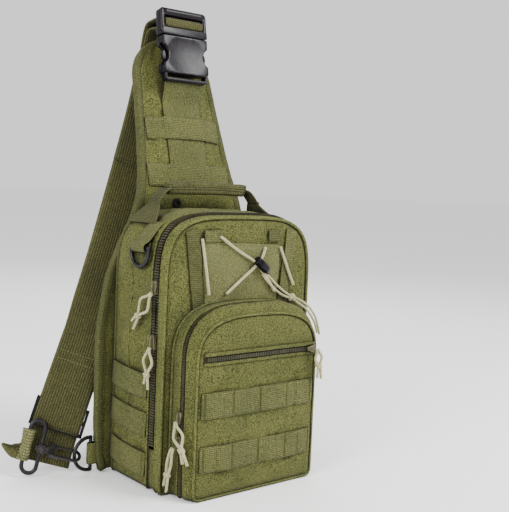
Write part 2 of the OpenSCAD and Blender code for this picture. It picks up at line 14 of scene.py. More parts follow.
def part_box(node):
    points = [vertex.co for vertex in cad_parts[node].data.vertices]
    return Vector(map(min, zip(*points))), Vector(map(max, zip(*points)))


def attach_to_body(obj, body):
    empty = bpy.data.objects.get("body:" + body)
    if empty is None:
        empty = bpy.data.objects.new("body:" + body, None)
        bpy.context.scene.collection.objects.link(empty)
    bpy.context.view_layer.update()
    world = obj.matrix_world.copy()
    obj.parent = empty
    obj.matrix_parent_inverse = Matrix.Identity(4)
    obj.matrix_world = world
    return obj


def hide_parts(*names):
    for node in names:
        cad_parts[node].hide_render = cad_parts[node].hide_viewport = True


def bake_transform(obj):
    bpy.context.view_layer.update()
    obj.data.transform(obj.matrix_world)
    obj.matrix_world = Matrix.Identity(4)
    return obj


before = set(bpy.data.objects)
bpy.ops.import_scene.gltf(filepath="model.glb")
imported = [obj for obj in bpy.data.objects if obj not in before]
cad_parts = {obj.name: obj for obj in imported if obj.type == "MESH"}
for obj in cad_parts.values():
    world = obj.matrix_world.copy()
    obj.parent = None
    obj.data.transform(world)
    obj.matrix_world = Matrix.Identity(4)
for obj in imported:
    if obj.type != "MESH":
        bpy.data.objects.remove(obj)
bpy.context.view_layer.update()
scene = bpy.context.scene
MM = 0.001


def extent(node):
    """Lowest and highest corner of a CAD node, in millimetres."""
    low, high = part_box(node)
    return np.array(low) / MM, np.array(high) / MM


# ---------- sizes, worked out from the frame ----------

gusset_low, gusset_high = extent("main_gusset")
flap_low = extent("front_flap")[0]
zip_low, zip_high = extent("main_zip")
pocket_high = extent("pocket_gusset")[1]
face_low = extent("pocket_face")[0]
panel_low, panel_high = extent("back_panel")
MAIN_HW = gusset_high[0]              # half-width of the main compartment
MAIN_TOP = gusset_high[2]
MAIN_STRAIGHT = 190                   # the sides are straight up to here
MAIN_SQUARE = 4                       # squareness of the crown
FRONT_Y = flap_low[1]
FOLD_Z = flap_low[2]                  # where the front flap folds
GUSSET_Y = gusset_low[1]
PANEL_Y, PANEL_BACK = panel_low[1], panel_high[1]
ZIP_Y = (zip_low[1] + zip_high[1]) / 2
ZIP_END = zip_low[2]
POCKET_HW, POCKET_TOP = pocket_high[0], pocket_high[2]
POCKET_STRAIGHT = 128
POCKET_SQUARE = 3
SMALL_ZIP_Z = 137                     # the small zip holds the pocket's face flat at this height
POCKET_BACK = FRONT_Y
POCKET_ZIP_Y = extent("pocket_zip_rear")[0][1]
POCKET_SLIDER_Y = -58.5
FACE_Y = face_low[1]
PAD_BEND = 290                        # height at which the pad leans back
PAD_LEAN = math.radians(16.7)
PAD_THICK = 10
PAD_LENGTH = 179
STRAP_W = 50
STRAP_T = 2.4
BAND_H = 25
BAND_T = 1.7
SIDE_NAMES = {-1: "left", 1: "right"}
UP, FORWARD, BACKWARD = (0, 0, 1), (0, -1, 0), (0, 1, 0)      # the bag's front faces -Y

# Half-width of the back panel and pad against the length up them, as in the CAD
SIDE_LENGTHS = [0, 12, 60, 150, 203, 240, 262, 290, 320, 377, 430, 470]
SIDE_WIDTHS = [103, 110, 112, 112, 103, 88, 75, 66, 60, 54, 50, 49]


# ---------- camera, floor and lights ----------

VIEW_PLACE = Vector((-0.5647, -0.6814, 0.2973))
VIEW_YAW, VIEW_PITCH, VIEW_ROLL = math.radians(-36.5), math.radians(4.53), math.radians(-1.99)
LENS, SENSOR = 59.4, 36
SHIFT = (0.166, -0.003)
LIGHT_AIM = Vector((0, 0, 0.22))       # the middle of the bag, in metres
WORLD_LIGHT = 1.15
FLOOR_REACH = 40                      # far enough for the floor to fill the view, in metres
FLOOR_DROP = 0.0005


def add_camera():
    data = bpy.data.cameras.new("camera")
    data.lens, data.sensor_width = LENS, SENSOR
    data.shift_x, data.shift_y = SHIFT
    camera = bpy.data.objects.new("camera", data)
    scene.collection.objects.link(camera)
    ahead = Vector((-math.sin(VIEW_YAW) * math.cos(VIEW_PITCH), math.cos(VIEW_YAW) * math.cos(VIEW_PITCH),
                    -math.sin(VIEW_PITCH)))
    turn = ahead.to_track_quat("-Z", "Y").to_matrix().to_4x4()
    camera.matrix_world = Matrix.Translation(VIEW_PLACE) @ turn @ Matrix.Rotation(-VIEW_ROLL, 4, "Z")
    scene.camera = camera


def add_light(name, place, size, power, colour=(1, 1, 1)):
    data = bpy.data.lights.new(name, "AREA")
    data.size, data.energy, data.color = size, power, colour
    light = bpy.data.objects.new(name, data)
    scene.collection.objects.link(light)
    light.location = place
    light.rotation_euler = (LIGHT_AIM - Vector(place)).to_track_quat("-Z", "Y").to_euler()


def add_stage():
    world = bpy.data.worlds.new("studio")
    world.use_nodes = True
    background = world.node_tree.nodes["Background"]
    background.inputs[0].default_value = (1, 1, 1, 1)
    background.inputs[1].default_value = WORLD_LIGHT
    scene.world = world
    add_light("key", (0.72, -1.15, 1.3), 0.75, 44)
    add_light("side", (-1.7, -0.5, 1.0), 0.8, 38)
    add_light("rim", (0.9, 1.2, 1.3), 0.9, 10)
    mesh = bpy.data.meshes.new("floor")
    corners = [(x * FLOOR_REACH, y * FLOOR_REACH, 0) for x, y in ((-1, -1), (1, -1), (1, 1), (-1, 1))]
    mesh.from_pydata(corners, [], [(0, 1, 2, 3)])
    floor = bpy.data.objects.new("floor", mesh)
    floor.location.z = -FLOOR_DROP
    scene.collection.objects.link(floor)
    mesh.materials.append(plain("floor_paper", (0.95, 0.95, 0.945), 0.9))


# ---------- materials ----------

class Shader:
    """A node material: add() makes a node and links what it is given."""

    def __init__(self, name, rough=0.8, metal=0.0, sheen=0.0, coat=0.0, specular=0.5):
        self.material = bpy.data.materials.new(name)
        self.material.use_nodes = True
        self.tree = self.material.node_tree
        self.surface = self.tree.nodes["Principled BSDF"]
        sockets = self.surface.inputs
        sockets["Roughness"].default_value = rough
        sockets["Metallic"].default_value = metal
        sockets["Sheen Weight"].default_value = sheen
        sockets["Coat Weight"].default_value = coat
        sockets["Specular IOR Level"].default_value = specular

    def add(self, kind, *values, out=0, **settings):
        node = self.tree.nodes.new("ShaderNode" + kind)
        for key, value in settings.items():
            setattr(node, key, value)
        for socket, value in values:
            target = node.inputs[socket]
            if isinstance(value, bpy.types.NodeSocket):
                self.tree.links.new(value, target)
            else:
                target.default_value = value
        return node.outputs[out]

    def math(self, operation, a, b=0.0, c=0.0):
        return self.add("Math", (0, a), (1, b), (2, c), operation=operation)

    def uv(self):
        """The two UV coordinates, in millimetres."""
        place = self.add("UVMap", uv_map="UVMap")
        split = self.tree.nodes.new("ShaderNodeSeparateXYZ")
        self.tree.links.new(place, split.inputs[0])
        return [self.math("MULTIPLY", split.outputs[k], 1 / MM) for k in (0, 1)]

    def ridge(self, length, pitch, phase=0.0):
        """A smooth wave from 0 to 1 with that pitch."""
        turns = self.math("MULTIPLY_ADD", length, 2 * math.pi / pitch, phase)
        return self.math("MULTIPLY_ADD", self.math("SINE", turns), 0.5, 0.5)

    def speckle(self, size, detail=2.0):
        """Noise in the object's own space, with features of that size."""
        place = self.add("TexCoord", out=3)
        return self.add("TexNoise", ("Vector", place), ("Scale", 1 / (size * MM)), ("Detail", detail))

    def stretch(self, value, low, high):
        """A value that goes from 0 at low to 1 at high."""
        return self.add("MapRange", (0, value), (1, low), (2, high))

    def multiply(self, colour, other):
        node = self.tree.nodes.new("ShaderNodeMix")
        node.data_type, node.blend_type = "RGBA", "MULTIPLY"
        node.inputs[0].default_value = 1.0
        self.tree.links.new(colour, node.inputs[6])
        self.tree.links.new(other, node.inputs[7])
        return node.outputs[2]

    def mix(self, factor, dark, light):
        """From the dark colour where the factor is 0 to the light one where it is 1."""
        ramp = self.stretch(factor, 0.0, 1.0)
        node = self.tree.nodes.new("ShaderNodeMix")
        node.data_type = "RGBA"
        self.tree.links.new(ramp, node.inputs[0])
        for socket, value in ((6, dark), (7, light)):
            if isinstance(value, bpy.types.NodeSocket):
                self.tree.links.new(value, node.inputs[socket])
            else:
                node.inputs[socket].default_value = (*value, 1)
        return node.outputs[2]

    def colour(self, socket):
        self.tree.links.new(socket, self.surface.inputs["Base Color"])

    def bump(self, height, depth, strength=1.0, under=None):
        values = [("Height", height), ("Distance", depth * MM), ("Strength", strength)]
        if under:
            values.append(("Normal", under))
        return self.add("Bump", *values)

    def finish(self, normal):
        self.tree.links.new(normal, self.surface.inputs["Normal"])
        return self.material


def shade(colour, factor):
    return tuple(c * factor for c in colour)


def plain(name, colour, rough):
    s = Shader(name, rough)
    s.colour(s.mix(s.speckle(40, 3), shade(colour, 0.97), colour))
    return s.material


def tone(s, colour, spread=0.6, grain=1.15):
    """The colour of dyed yarn: fine light and dark flecks over slow patches."""
    fleck = s.mix(s.stretch(s.speckle(grain), 0.38, 0.62), shade(colour, 1 - spread),
                  shade(colour, 1 + spread))
    blotch = s.stretch(s.speckle(38, 3.0), 0.3, 0.7)
    return s.multiply(fleck, s.mix(blotch, (0.80, 0.83, 0.76), (1.10, 1.08, 1.0)))


def darken(s, colour, factor, amount):
    """Multiplies a colour by 1 - amount where the factor is 0, up to 1 where it is 1."""
    return s.multiply(colour, s.mix(factor, (1 - amount,) * 3, (1, 1, 1)))


def painted_crease_shade(s, colour, reach=14, amount=0.72):
    """Painted shade: darker where the surface is folded in or lies close to another piece."""
    hollow = s.add("AmbientOcclusion", ("Distance", reach * MM), out=1, samples=6)
    return darken(s, colour, s.stretch(hollow, 0.25, 0.85), amount)


def woven(name, colour, pitch=2.1, sheen=0.03, spread=0.62):
    """Plain-weave nylon cloth."""
    s = Shader(name, 0.86, sheen=sheen, specular=0.14)
    u, v = s.uv()
    weave = s.math("MULTIPLY", s.ridge(u, pitch), s.ridge(v, pitch))
    back = s.math("MULTIPLY", s.ridge(u, pitch, math.pi), s.ridge(v, pitch, math.pi))
    threads = s.math("MAXIMUM", weave, back)
    # Painted shade: darker between the threads, and in creases and close to other pieces
    s.colour(painted_crease_shade(s, darken(s, tone(s, colour, spread), threads, 0.4)))
    slow = s.bump(s.speckle(9, 4.0), 1.8, 0.5)
    return s.finish(s.bump(threads, 0.4, 0.9, slow))


def webbing(name, colour, rib=2.1, pick=1.4, spread=0.42, valley_shade=0.5):
    """Heavy webbing: cords along it, picks across it."""
    s = Shader(name, 0.8, sheen=0.03, specular=0.16)
    u, v = s.uv()
    ribs = s.ridge(u, rib)
    picks = s.ridge(s.math("ADD", v, s.math("MULTIPLY", s.ridge(u, rib, 1.6), 0.5)), pick)
    height = s.math("MULTIPLY_ADD", picks, 0.45, s.math("POWER", ribs, 0.6))
    # Painted shade: darker in the grooves between the ribs and between the picks, and in creases
    valley_shaded_colour = darken(s, tone(s, colour, spread), s.math("POWER", ribs, 0.5), valley_shade)
    s.colour(painted_crease_shade(s, darken(s, valley_shaded_colour, picks, 0.45)))
    return s.finish(s.bump(height, 0.45, 0.8))


def grosgrain(name, colour, rib=1.9):
    """Binding tape with ribs across it."""
    s = Shader(name, 0.82, sheen=0.03, specular=0.16)
    _, v = s.uv()
    ribs = s.ridge(v, rib)
    # Painted shade: darker between the ribs, and in creases
    s.colour(painted_crease_shade(s, darken(s, tone(s, colour, 0.4), ribs, 0.5)))
    return s.finish(s.bump(ribs, 0.35, 0.8))


def looped(name, colour):
    """Loop fabric, with a matted pile."""
    s = Shader(name, 0.95, sheen=0.12, specular=0.1)
    fuzz = s.speckle(0.9, 4.0)
    # Painted shade: darker in the low parts of the pile
    s.colour(darken(s, tone(s, colour, 0.3, 1.4), s.stretch(fuzz, 0.35, 0.6), 0.3))
    return s.finish(s.bump(fuzz, 1.0, 1.0, s.bump(s.speckle(2.6, 3.0), 1.4, 0.6)))


def spacer_mesh(name, colour):
    """Air mesh: a honeycomb of small holes."""
    s = Shader(name, 0.9, sheen=0.35, specular=0.2)
    place = s.add("UVMap", uv_map="UVMap")
    cells = s.add("TexVoronoi", ("Vector", place), ("Scale", 1 / (2.6 * MM)), ("Randomness", 0.25))
    holes = s.stretch(cells, 0.22, 0.5)
    # Painted shade: darker inside the holes
    s.colour(darken(s, tone(s, colour, 0.22), holes, 0.62))
    return s.finish(s.bump(holes, 0.7, 0.9))


def braided(name, colour, around, pitch=2.0, sheen=0.25, specular=0.35):
    """Braided cord: two sets of strands that cross."""
    s = Shader(name, 0.7, sheen=sheen, specular=specular)
    u, v = s.uv()
    turns = s.math("MULTIPLY", u, 2 * math.pi * 3 / around)
    steps = s.math("MULTIPLY", v, 2 * math.pi / pitch)
    first = s.math("SINE", s.math("ADD", turns, steps))
    second = s.math("SINE", s.math("SUBTRACT", turns, steps))
    strands = s.math("MULTIPLY_ADD", s.math("MAXIMUM", first, second), 0.5, 0.5)
    # Painted shade: darker between the strands
    s.colour(darken(s, tone(s, colour, 0.14, 2.0), strands, 0.42))
    return s.finish(s.bump(strands, 0.35, 0.9))


def moulded(name, colour, rough=0.3, coat=0.25, grain=0.12, specular=0.5):
    """Injection-moulded plastic, lightly scuffed."""
    s = Shader(name, rough, coat=coat, specular=specular)
    scuff = s.stretch(s.speckle(9, 6.0), 0.42, 0.68)
    s.colour(s.mix(scuff, colour, shade(colour, 1.9)))
    s.tree.links.new(s.add("MapRange", (0, scuff), (1, 0.0), (2, 1.0), (3, rough), (4, rough + 0.06)),
                     s.surface.inputs["Roughness"])
    return s.finish(s.bump(s.speckle(0.5, 2.0), grain, 0.25))


def painted(name, colour, worn, rough=0.38, metal=0.6):
    """Painted metal, worn to a lighter tone on its ridges."""
    s = Shader(name, rough, metal=metal)
    edge = s.stretch(s.add("NewGeometry", out=7), 0.5, 0.62)
    wear = s.math("MULTIPLY", edge, s.stretch(s.speckle(1.6, 4.0), 0.4, 0.6))
    s.colour(s.mix(wear, colour, worn))
    return s.finish(s.bump(s.speckle(0.8, 3.0), 0.12, 0.4))


OLIVE = (0.092, 0.097, 0.027)
OLIVE_WEB = (0.112, 0.117, 0.038)
# Strap and handle webbing: a darker webbing, made darker still as painted shade where they lie in shade
DARKER_WEB_COLOUR_PLUS_PAINTED_SHADE = (0.084, 0.083, 0.029)
KHAKI_PANEL = (0.24, 0.215, 0.095)
CORD_TAN = (0.40, 0.37, 0.20)

CLOTH = woven("olive_cloth", OLIVE)
LINING = woven("lining_cloth", shade(OLIVE, 0.55), 0.7)
YOKE = woven("yoke_cloth", KHAKI_PANEL, spread=0.22)
WEB = webbing("olive_webbing", OLIVE_WEB)
# The strap, handle and flare webbing: darker webbing with painted shade in its colour
DARKER_WEBBING_PLUS_PAINTED_SHADE = webbing("strap_webbing", DARKER_WEB_COLOUR_PLUS_PAINTED_SHADE, rib=2.7, pick=1.8, valley_shade=0.75)
BAND = webbing("band_webbing", shade(OLIVE_WEB, 1.05), rib=1.9, pick=1.9, valley_shade=0.55)
WRAP = webbing("khaki_webbing", (0.180, 0.182, 0.080), rib=2.9, pick=1.6)
BINDING = grosgrain("binding_tape", shade(OLIVE_WEB, 0.62))
# Piping and the narrow side strips: lighter than the cloth, a painted highlight on their raised edges
PAINTED_HIGHLIGHT_PIPE_CLOTH = woven("piping_cloth", shade(OLIVE, 1.5), 0.8)
PILE = looped("loop_pile", (0.118, 0.120, 0.044))
MESH = spacer_mesh("air_mesh", (0.045, 0.038, 0.045))
TAPE = grosgrain("zip_tape", (0.020, 0.018, 0.006), 0.9)
TEETH = moulded("zip_teeth_plastic", (0.023, 0.021, 0.009), 0.42, 0.0, specular=0.3)
SLIDER = painted("slider_metal", (0.065, 0.058, 0.027), (0.22, 0.20, 0.11), 0.42)
BRAID = braided("tan_cord", CORD_TAN, 8.2)
SHOCK = braided("shock_cord", CORD_TAN, 9.4, 1.7)
BLACK = moulded("black_plastic", (0.0040, 0.0030, 0.0044), 0.27, 0.0, specular=0.15)
GREEN_PLASTIC = moulded("lock_plastic", (0.035, 0.036, 0.018), 0.4, 0.1)
METAL = painted("black_metal", (0.010, 0.009, 0.010), (0.05, 0.045, 0.04), 0.36)
THREAD = braided("olive_thread", shade(OLIVE_WEB, 1.15), 2.2, 0.8, sheen=0.03, specular=0.15)
TACK = braided("tack_thread", shade(OLIVE_WEB, 0.82), 2.2, 0.8, sheen=0.0, specular=0.05)
FOAM = plain("foam_board", (0.66, 0.62, 0.48), 0.95)


# ---------- mesh tools ----------

def attach(obj, body):
    """Puts a piece on its body, where it has one."""
    if body:
        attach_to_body(obj, body)
    return obj


def discard(obj):
    mesh = obj.data
    bpy.data.objects.remove(obj)
    bpy.data.meshes.remove(mesh)


def make(name, points, faces, loop_uv, material, body, smooth=True):
    """A mesh piece: points in millimetres, and one UV pair in millimetres for each face corner."""
    mesh = bpy.data.meshes.new(name)
    mesh.from_pydata((np.asarray(points, float) * MM).tolist(), [], [list(map(int, f)) for f in faces])
    layer = mesh.uv_layers.new(name="UVMap")
    layer.data.foreach_set("uv", (np.asarray(loop_uv, float) * MM).ravel())
    mesh.polygons.foreach_set("use_smooth", [smooth] * len(mesh.polygons))
    mesh.materials.append(material)
    obj = bpy.data.objects.new(name, mesh)
    scene.collection.objects.link(obj)
    return attach(obj, body)


def spans(line):
    """Length along a line of points, from 0."""
    steps = np.linalg.norm(np.diff(line, axis=0), axis=1)
    return np.concatenate([[0], np.cumsum(steps)])


def grid(name, P, material, body, closed=False, flip=False, plane=False):
    """A surface through an array of points, with UVs that follow its lengths, or X and Z on a plane piece."""
    nu, nv = P.shape[:2]
    rows = np.concatenate([P, P[:1]]) if closed else P
    u = spans(rows[:, nv // 2])
    v = spans(P[nu // 2])
    faces, uv = [], []
    last = nu if closed else nu - 1
    for i in range(last):
        k = (i + 1) % nu
        for j in range(nv - 1):
            corners = [(i, j, i), (k, j, i + 1), (k, j + 1, i + 1), (i, j + 1, i)]
            if flip:
                corners.reverse()
            faces.append([a * nv + b for a, b, _ in corners])
            if plane:
                uv += [(P[a, b, 0], P[a, b, 2]) for a, b, _ in corners]
            else:
                uv += [(v[b], u[c]) for _, b, c in corners]
    return make(name, P.reshape(-1, 3), faces, uv, material, body)


def coords(obj):
    flat = np.empty(len(obj.data.vertices) * 3)
    obj.data.vertices.foreach_get("co", flat)
    return flat.reshape(-1, 3) / MM


def set_coords(obj, points):
    obj.data.vertices.foreach_set("co", (points * MM).ravel())
    obj.data.update()


def normals(obj):
    flat = np.empty(len(obj.data.vertices) * 3)
    obj.data.vertices.foreach_get("normal", flat)
    return flat.reshape(-1, 3)


def apply_modifiers(obj):
    bpy.context.view_layer.update()
    graph = bpy.context.evaluated_depsgraph_get()
    mesh = bpy.data.meshes.new_from_object(obj.evaluated_get(graph), preserve_all_data_layers=True,
                                           depsgraph=graph)
    old = obj.data
    obj.modifiers.clear()
    obj.data = mesh
    bpy.data.meshes.remove(old)


def thicken(obj, depth, offset=-1.0):
    """Gives a surface a thickness, inwards from its face."""
    solid = obj.modifiers.new("solid", "SOLIDIFY")
    solid.thickness, solid.offset = depth * MM, offset
    apply_modifiers(obj)


def refine(obj):
    sub = obj.modifiers.new("sub", "SUBSURF")
    sub.levels = sub.render_levels = 1
    apply_modifiers(obj)


def carve(obj, cutter):
    """Cuts one solid out of another and removes the cutter."""
    cut = obj.modifiers.new("cut", "BOOLEAN")
    cut.operation, cut.solver, cut.object = "DIFFERENCE", "EXACT", cutter
    apply_modifiers(obj)
    discard(cutter)


def bevel(obj, width, segments=2, angle=40):
    edge = obj.modifiers.new("bevel", "BEVEL")
    edge.width, edge.segments, edge.limit_method = width * MM, segments, "ANGLE"
    edge.angle_limit = math.radians(angle)
    apply_modifiers(obj)


def wrinkle(obj, height, size, seed, keep=None, stretch=(1, 1, 1)):
    """Moves the surface in and out by smooth noise. keep gives how free each point is, from 0 to 1."""
    points = coords(obj)
    free = np.ones(len(points)) if keep is None else keep(points)
    scaled = points / size * np.array(stretch) + seed * 7.3
    lift = np.array([noise.fractal(Vector(p), 0.7, 2.0, 3) for p in scaled])
    set_coords(obj, points + normals(obj) * (lift * height * free)[:, None])


def settle(obj, free, pressure, grow, cap, frames=12):
    """Lets a sewn panel settle as cloth: free is how free each point is, grow is the spare cloth."""
    before = coords(obj)
    hold = 1 - np.clip(free(before), 0, 1)
    group = obj.vertex_groups.new(name="hold")
    for i, weight in enumerate(hold):
        group.add([i], float(weight), "REPLACE")
    cloth = obj.modifiers.new("cloth", "CLOTH")
    settings = cloth.settings
    settings.vertex_group_mass = "hold"
    settings.quality = 5
    settings.mass = 0.15
    settings.tension_stiffness = settings.compression_stiffness = 25
    settings.shear_stiffness = 10
    settings.bending_stiffness = 0.6
    settings.use_pressure = True
    settings.uniform_pressure_force = pressure
    settings.shrink_min = settings.shrink_max = -grow
    settings.effector_weights.gravity = 0
    cloth.point_cache.frame_start, cloth.point_cache.frame_end = 1, frames
    for step in range(1, frames + 1):
        scene.frame_set(step)
    graph = bpy.context.evaluated_depsgraph_get()
    flat = np.empty(len(before) * 3)
    obj.evaluated_get(graph).data.vertices.foreach_get("co", flat)
    move = flat.reshape(-1, 3) / MM - before
    obj.modifiers.remove(cloth)
    obj.vertex_groups.clear()
    scene.frame_set(1)
    length = np.linalg.norm(move, axis=1, keepdims=True)
    set_coords(obj, before + move * np.minimum(1, cap / np.maximum(length, 1e-6)))


def join(name, pieces, body=None):
    """One object from several that share their materials."""
    verts, faces, uv, slots, materials = [], [], [], [], []
    for piece in pieces:
        mesh = piece.data
        base = len(verts)
        verts += [tuple(v.co) for v in mesh.vertices]
        uv += [tuple(d.uv) for d in mesh.uv_layers["UVMap"].data]
        for m in mesh.materials:
            if m not in materials:
                materials.append(m)
        for p in mesh.polygons:
            faces.append([base + i for i in p.vertices])
            slots.append((materials.index(mesh.materials[p.material_index]), p.use_smooth))
    mesh = bpy.data.meshes.new(name)
    mesh.from_pydata(verts, [], faces)
    layer = mesh.uv_layers.new(name="UVMap")
    layer.data.foreach_set("uv", np.array(uv).ravel())
    for m in materials:
        mesh.materials.append(m)
    for p, (index, smooth) in zip(mesh.polygons, slots):
        p.material_index, p.use_smooth = index, smooth
    obj = bpy.data.objects.new(name, mesh)
    scene.collection.objects.link(obj)
    for piece in pieces:
        discard(piece)
    return attach(obj, body)


# ---------- paths, tubes and ribbons ----------

def curve(route, per=6):
    """A smooth line through the rows of a route."""
    rows = np.asarray(route, float)
    ends = np.vstack([rows[:1], rows, rows[-1:]])
    out = []
    for i in range(len(rows) - 1):
        a, b, c, d = ends[i:i + 4]
        for k in range(per):
            t = k / per
            out.append(0.5 * (2 * b + (c - a) * t + (2 * a - 5 * b + 4 * c - d) * t * t
                              + (3 * b - a - 3 * c + d) * t ** 3))
    out.append(rows[-1])
    return np.array(out)


def sample(line, s, at):
    """The columns of a line at some length along it, s being the length at each of its points."""
    return np.stack([np.interp(at, s, line[:, k]) for k in range(line.shape[1])], axis=-1)


def even(line, step):
    """The same line with points a step apart."""
    s = spans(line)
    return sample(line, s, np.linspace(0, s[-1], max(2, int(round(s[-1] / step)) + 1)))


def even_loop(line, count):
    """The same closed line with that many even points."""
    closed = np.vstack([line, line[:1]])
    s = spans(closed)
    return sample(closed, s, np.linspace(0, s[-1], count, endpoint=False))


def repeated(vector, count):
    return np.tile(np.asarray(vector, float), (count, 1))


def rise(value, start, over):
    """0 up to the start, then 1 after that length."""
    return np.clip((value - start) / over, 0, 1)


def fall(value, end, over):
    """1, then 0 at the end after falling over that length."""
    return np.clip((end - value) / over, 0, 1)


def unit(v):
    return v / np.maximum(np.linalg.norm(v, axis=-1, keepdims=True), 1e-9)


def headings(line, closed=False):
    if closed:
        return unit(np.roll(line, -1, axis=0) - np.roll(line, 1, axis=0))
    return unit(np.gradient(line, axis=0))


def sweep(name, line, across, out, section, material, body, closed=False, flat_uv=False):
    """A closed section swept along a line. across and out are its axes at each point."""
    section = np.asarray(section, float)
    n, k = len(line), len(section)
    rings = (line[:, None] + section[None, :, :1] * across[:, None] + section[None, :, 1:] * out[:, None])
    around = spans(np.vstack([section, section[:1]]))
    if flat_uv:
        around = np.append(section[:, 0], section[0, 0]) - section[:, 0].min()
    along = spans(np.vstack([line, line[:1]]) if closed else line)
    faces, uv = [], []
    for i in range(n if closed else n - 1):
        m = (i + 1) % n
        for j in range(k):
            q = (j + 1) % k
            faces.append([i * k + j, i * k + q, m * k + q, m * k + j])
            uv += [(around[j], along[i]), (around[j + 1], along[i]), (around[j + 1], along[i + 1]),
                   (around[j], along[i + 1])]
    if not closed:
        faces.append([j for j in reversed(range(k))])
        uv += [(around[j], along[0] + section[j, 1]) for j in reversed(range(k))]
        faces.append([(n - 1) * k + j for j in range(k)])
        uv += [(around[j], along[-1] + section[j, 1]) for j in range(k)]
    return make(name, rings.reshape(-1, 3), faces, uv, material, body)


def round_section(radius, sides=10):
    turn = np.linspace(0, 2 * math.pi, sides, endpoint=False)
    return np.stack([radius * np.cos(turn), radius * np.sin(turn)], axis=1)


def tape_section(width, thick, cells=8, edge=0.8):
    """A flat tape's outline with softly rounded edges."""
    x = np.linspace(-width / 2, width / 2, cells + 1)
    half = thick / 2 * (1 - 0.55 * np.exp(-(width / 2 - np.abs(x)) / edge))
    top = np.stack([x[::-1], half[::-1]], axis=1)
    low = np.stack([x, -half], axis=1)
    return np.vstack([low, top])


def transport(line, closed=False):
    """Axes that follow a line without twisting."""
    ahead = headings(line, closed)
    start = np.array([0, 0, 1.0]) if abs(ahead[0][2]) < 0.9 else np.array([1.0, 0, 0])
    side = unit(np.cross(ahead[0], start))
    sides = []
    for h in ahead:
        side = unit(side - h * (side @ h))
        sides.append(side)
    sides = np.array(sides)
    return sides, np.cross(ahead, sides)


def tube(name, line, radius, material, body, sides=10, closed=False):
    across, out = transport(line, closed)
    return sweep(name, line, across, out, round_section(radius, sides), material, body, closed)


def ribbon_axes(line, yaw):
    """Across and outward axes for webbing whose width turns about Z by yaw degrees."""
    ahead = headings(line)
    turn = np.radians(yaw)
    flat = np.stack([np.cos(turn), np.sin(turn), 0 * turn], axis=1)
    across = unit(flat - ahead * np.sum(flat * ahead, axis=1, keepdims=True))
    return across, np.cross(ahead, across)


def flat_web(name, line, across, out, width, thick, material, body, cells=10):
    """Flat webbing along a line."""
    return sweep(name, line, across, out, tape_section(width, thick, cells), material, body,
                 flat_uv=True)


class Skin:
    """A surface to lay things on."""

    def __init__(self, *objects):
        verts, faces = [], []
        for obj in objects:
            base = len(verts)
            verts += [tuple(p) for p in coords(obj)]
            faces += [[base + i for i in p.vertices] for p in obj.data.polygons]
        self.tree = BVHTree.FromPolygons(verts, faces)

    def at(self, point, towards):
        """Where a ray from far outside meets the surface, and the normal that faces the ray."""
        towards = Vector(towards).normalized()
        start = Vector(point) - towards * 150
        place, normal, _, _ = self.tree.ray_cast(start, towards)
        if place is None:
            place, normal, _, _ = self.tree.find_nearest(Vector(point))
        if normal.dot(towards) > 0:
            normal = -normal
        return np.array(place), np.array(normal)

    def lay(self, points, towards, gap=0.0):
        """Drops a line of points onto the surface; returns the points and their normals."""
        hits = [self.at(p, towards) for p in points]
        place = np.array([h[0] for h in hits])
        out = np.array([h[1] for h in hits])
        return place + out * gap, out


# One stitch: its points (along, up and aside, in half-lengths and widths) and its faces
STITCH_POINTS = [(-1, -0.3, 0), (-0.5, 0.5, 0), (-0.5, 0, 1), (-0.5, 0, -1), (0.5, 0.5, 0), (0.5, 0, 1),
                 (0.5, 0, -1),
                 (1, -0.3, 0)]
STITCH_FACES = [(0, 2, 1), (0, 1, 3), (1, 2, 5, 4), (3, 1, 4, 6), (4, 5, 7), (6, 4, 7)]


def stitches(name, rows, body, material=THREAD, pitch=3.2, length=2.3, width=0.45):
    """Rows of thread stitches: each row is (points, normals)."""
    verts, faces, uv = [], [], []
    for line, out in rows:
        s = spans(line)
        count = max(1, int(s[-1] / pitch))
        for i in range(count):
            at = (i + 0.5) * s[-1] / count
            centre = sample(line, s, at)
            ahead = sample(line, s, min(at + 1, s[-1])) - centre
            up = unit(sample(out, s, at))
            ahead = unit(ahead) if np.linalg.norm(ahead) > 1e-6 else unit(np.cross(up, [0.3, 0.5, 0.8]))
            side = unit(np.cross(up, ahead))
            base = len(verts)
            for along, over, aside in STITCH_POINTS:
                verts.append(centre + ahead * along * length / 2 + up * over * width + side * aside * width)
            for shape in STITCH_FACES:
                faces.append([base + k for k in shape])
                uv += [(k * 0.4, k * 0.3) for k in shape]
    return make(name, verts, faces, uv, material, body)


# ---------- outlines ----------

def arch(hw, zb, zs, zt, square, sides=24, crown=48):
    """An open tombstone outline in X and Z, from the left foot over the crown to the right foot."""
    left = [(-hw, z) for z in np.linspace(zb, zs, sides, endpoint=False)]
    top = []
    for a in np.linspace(math.pi, 0, crown + 1):
        c, s = math.cos(a), max(math.sin(a), 0)
        top.append((math.copysign(hw * abs(c) ** (2 / square), c), zs + (zt - zs) * s ** (2 / square)))
    right = [(hw, z) for z in np.linspace(zs, zb, sides + 1)[1:]]
    return np.array(left + top + right)


def in_plane(outline, y):
    """An X-Z outline at a depth."""
    return np.stack([outline[:, 0], np.full(len(outline), y), outline[:, 1]], axis=1)


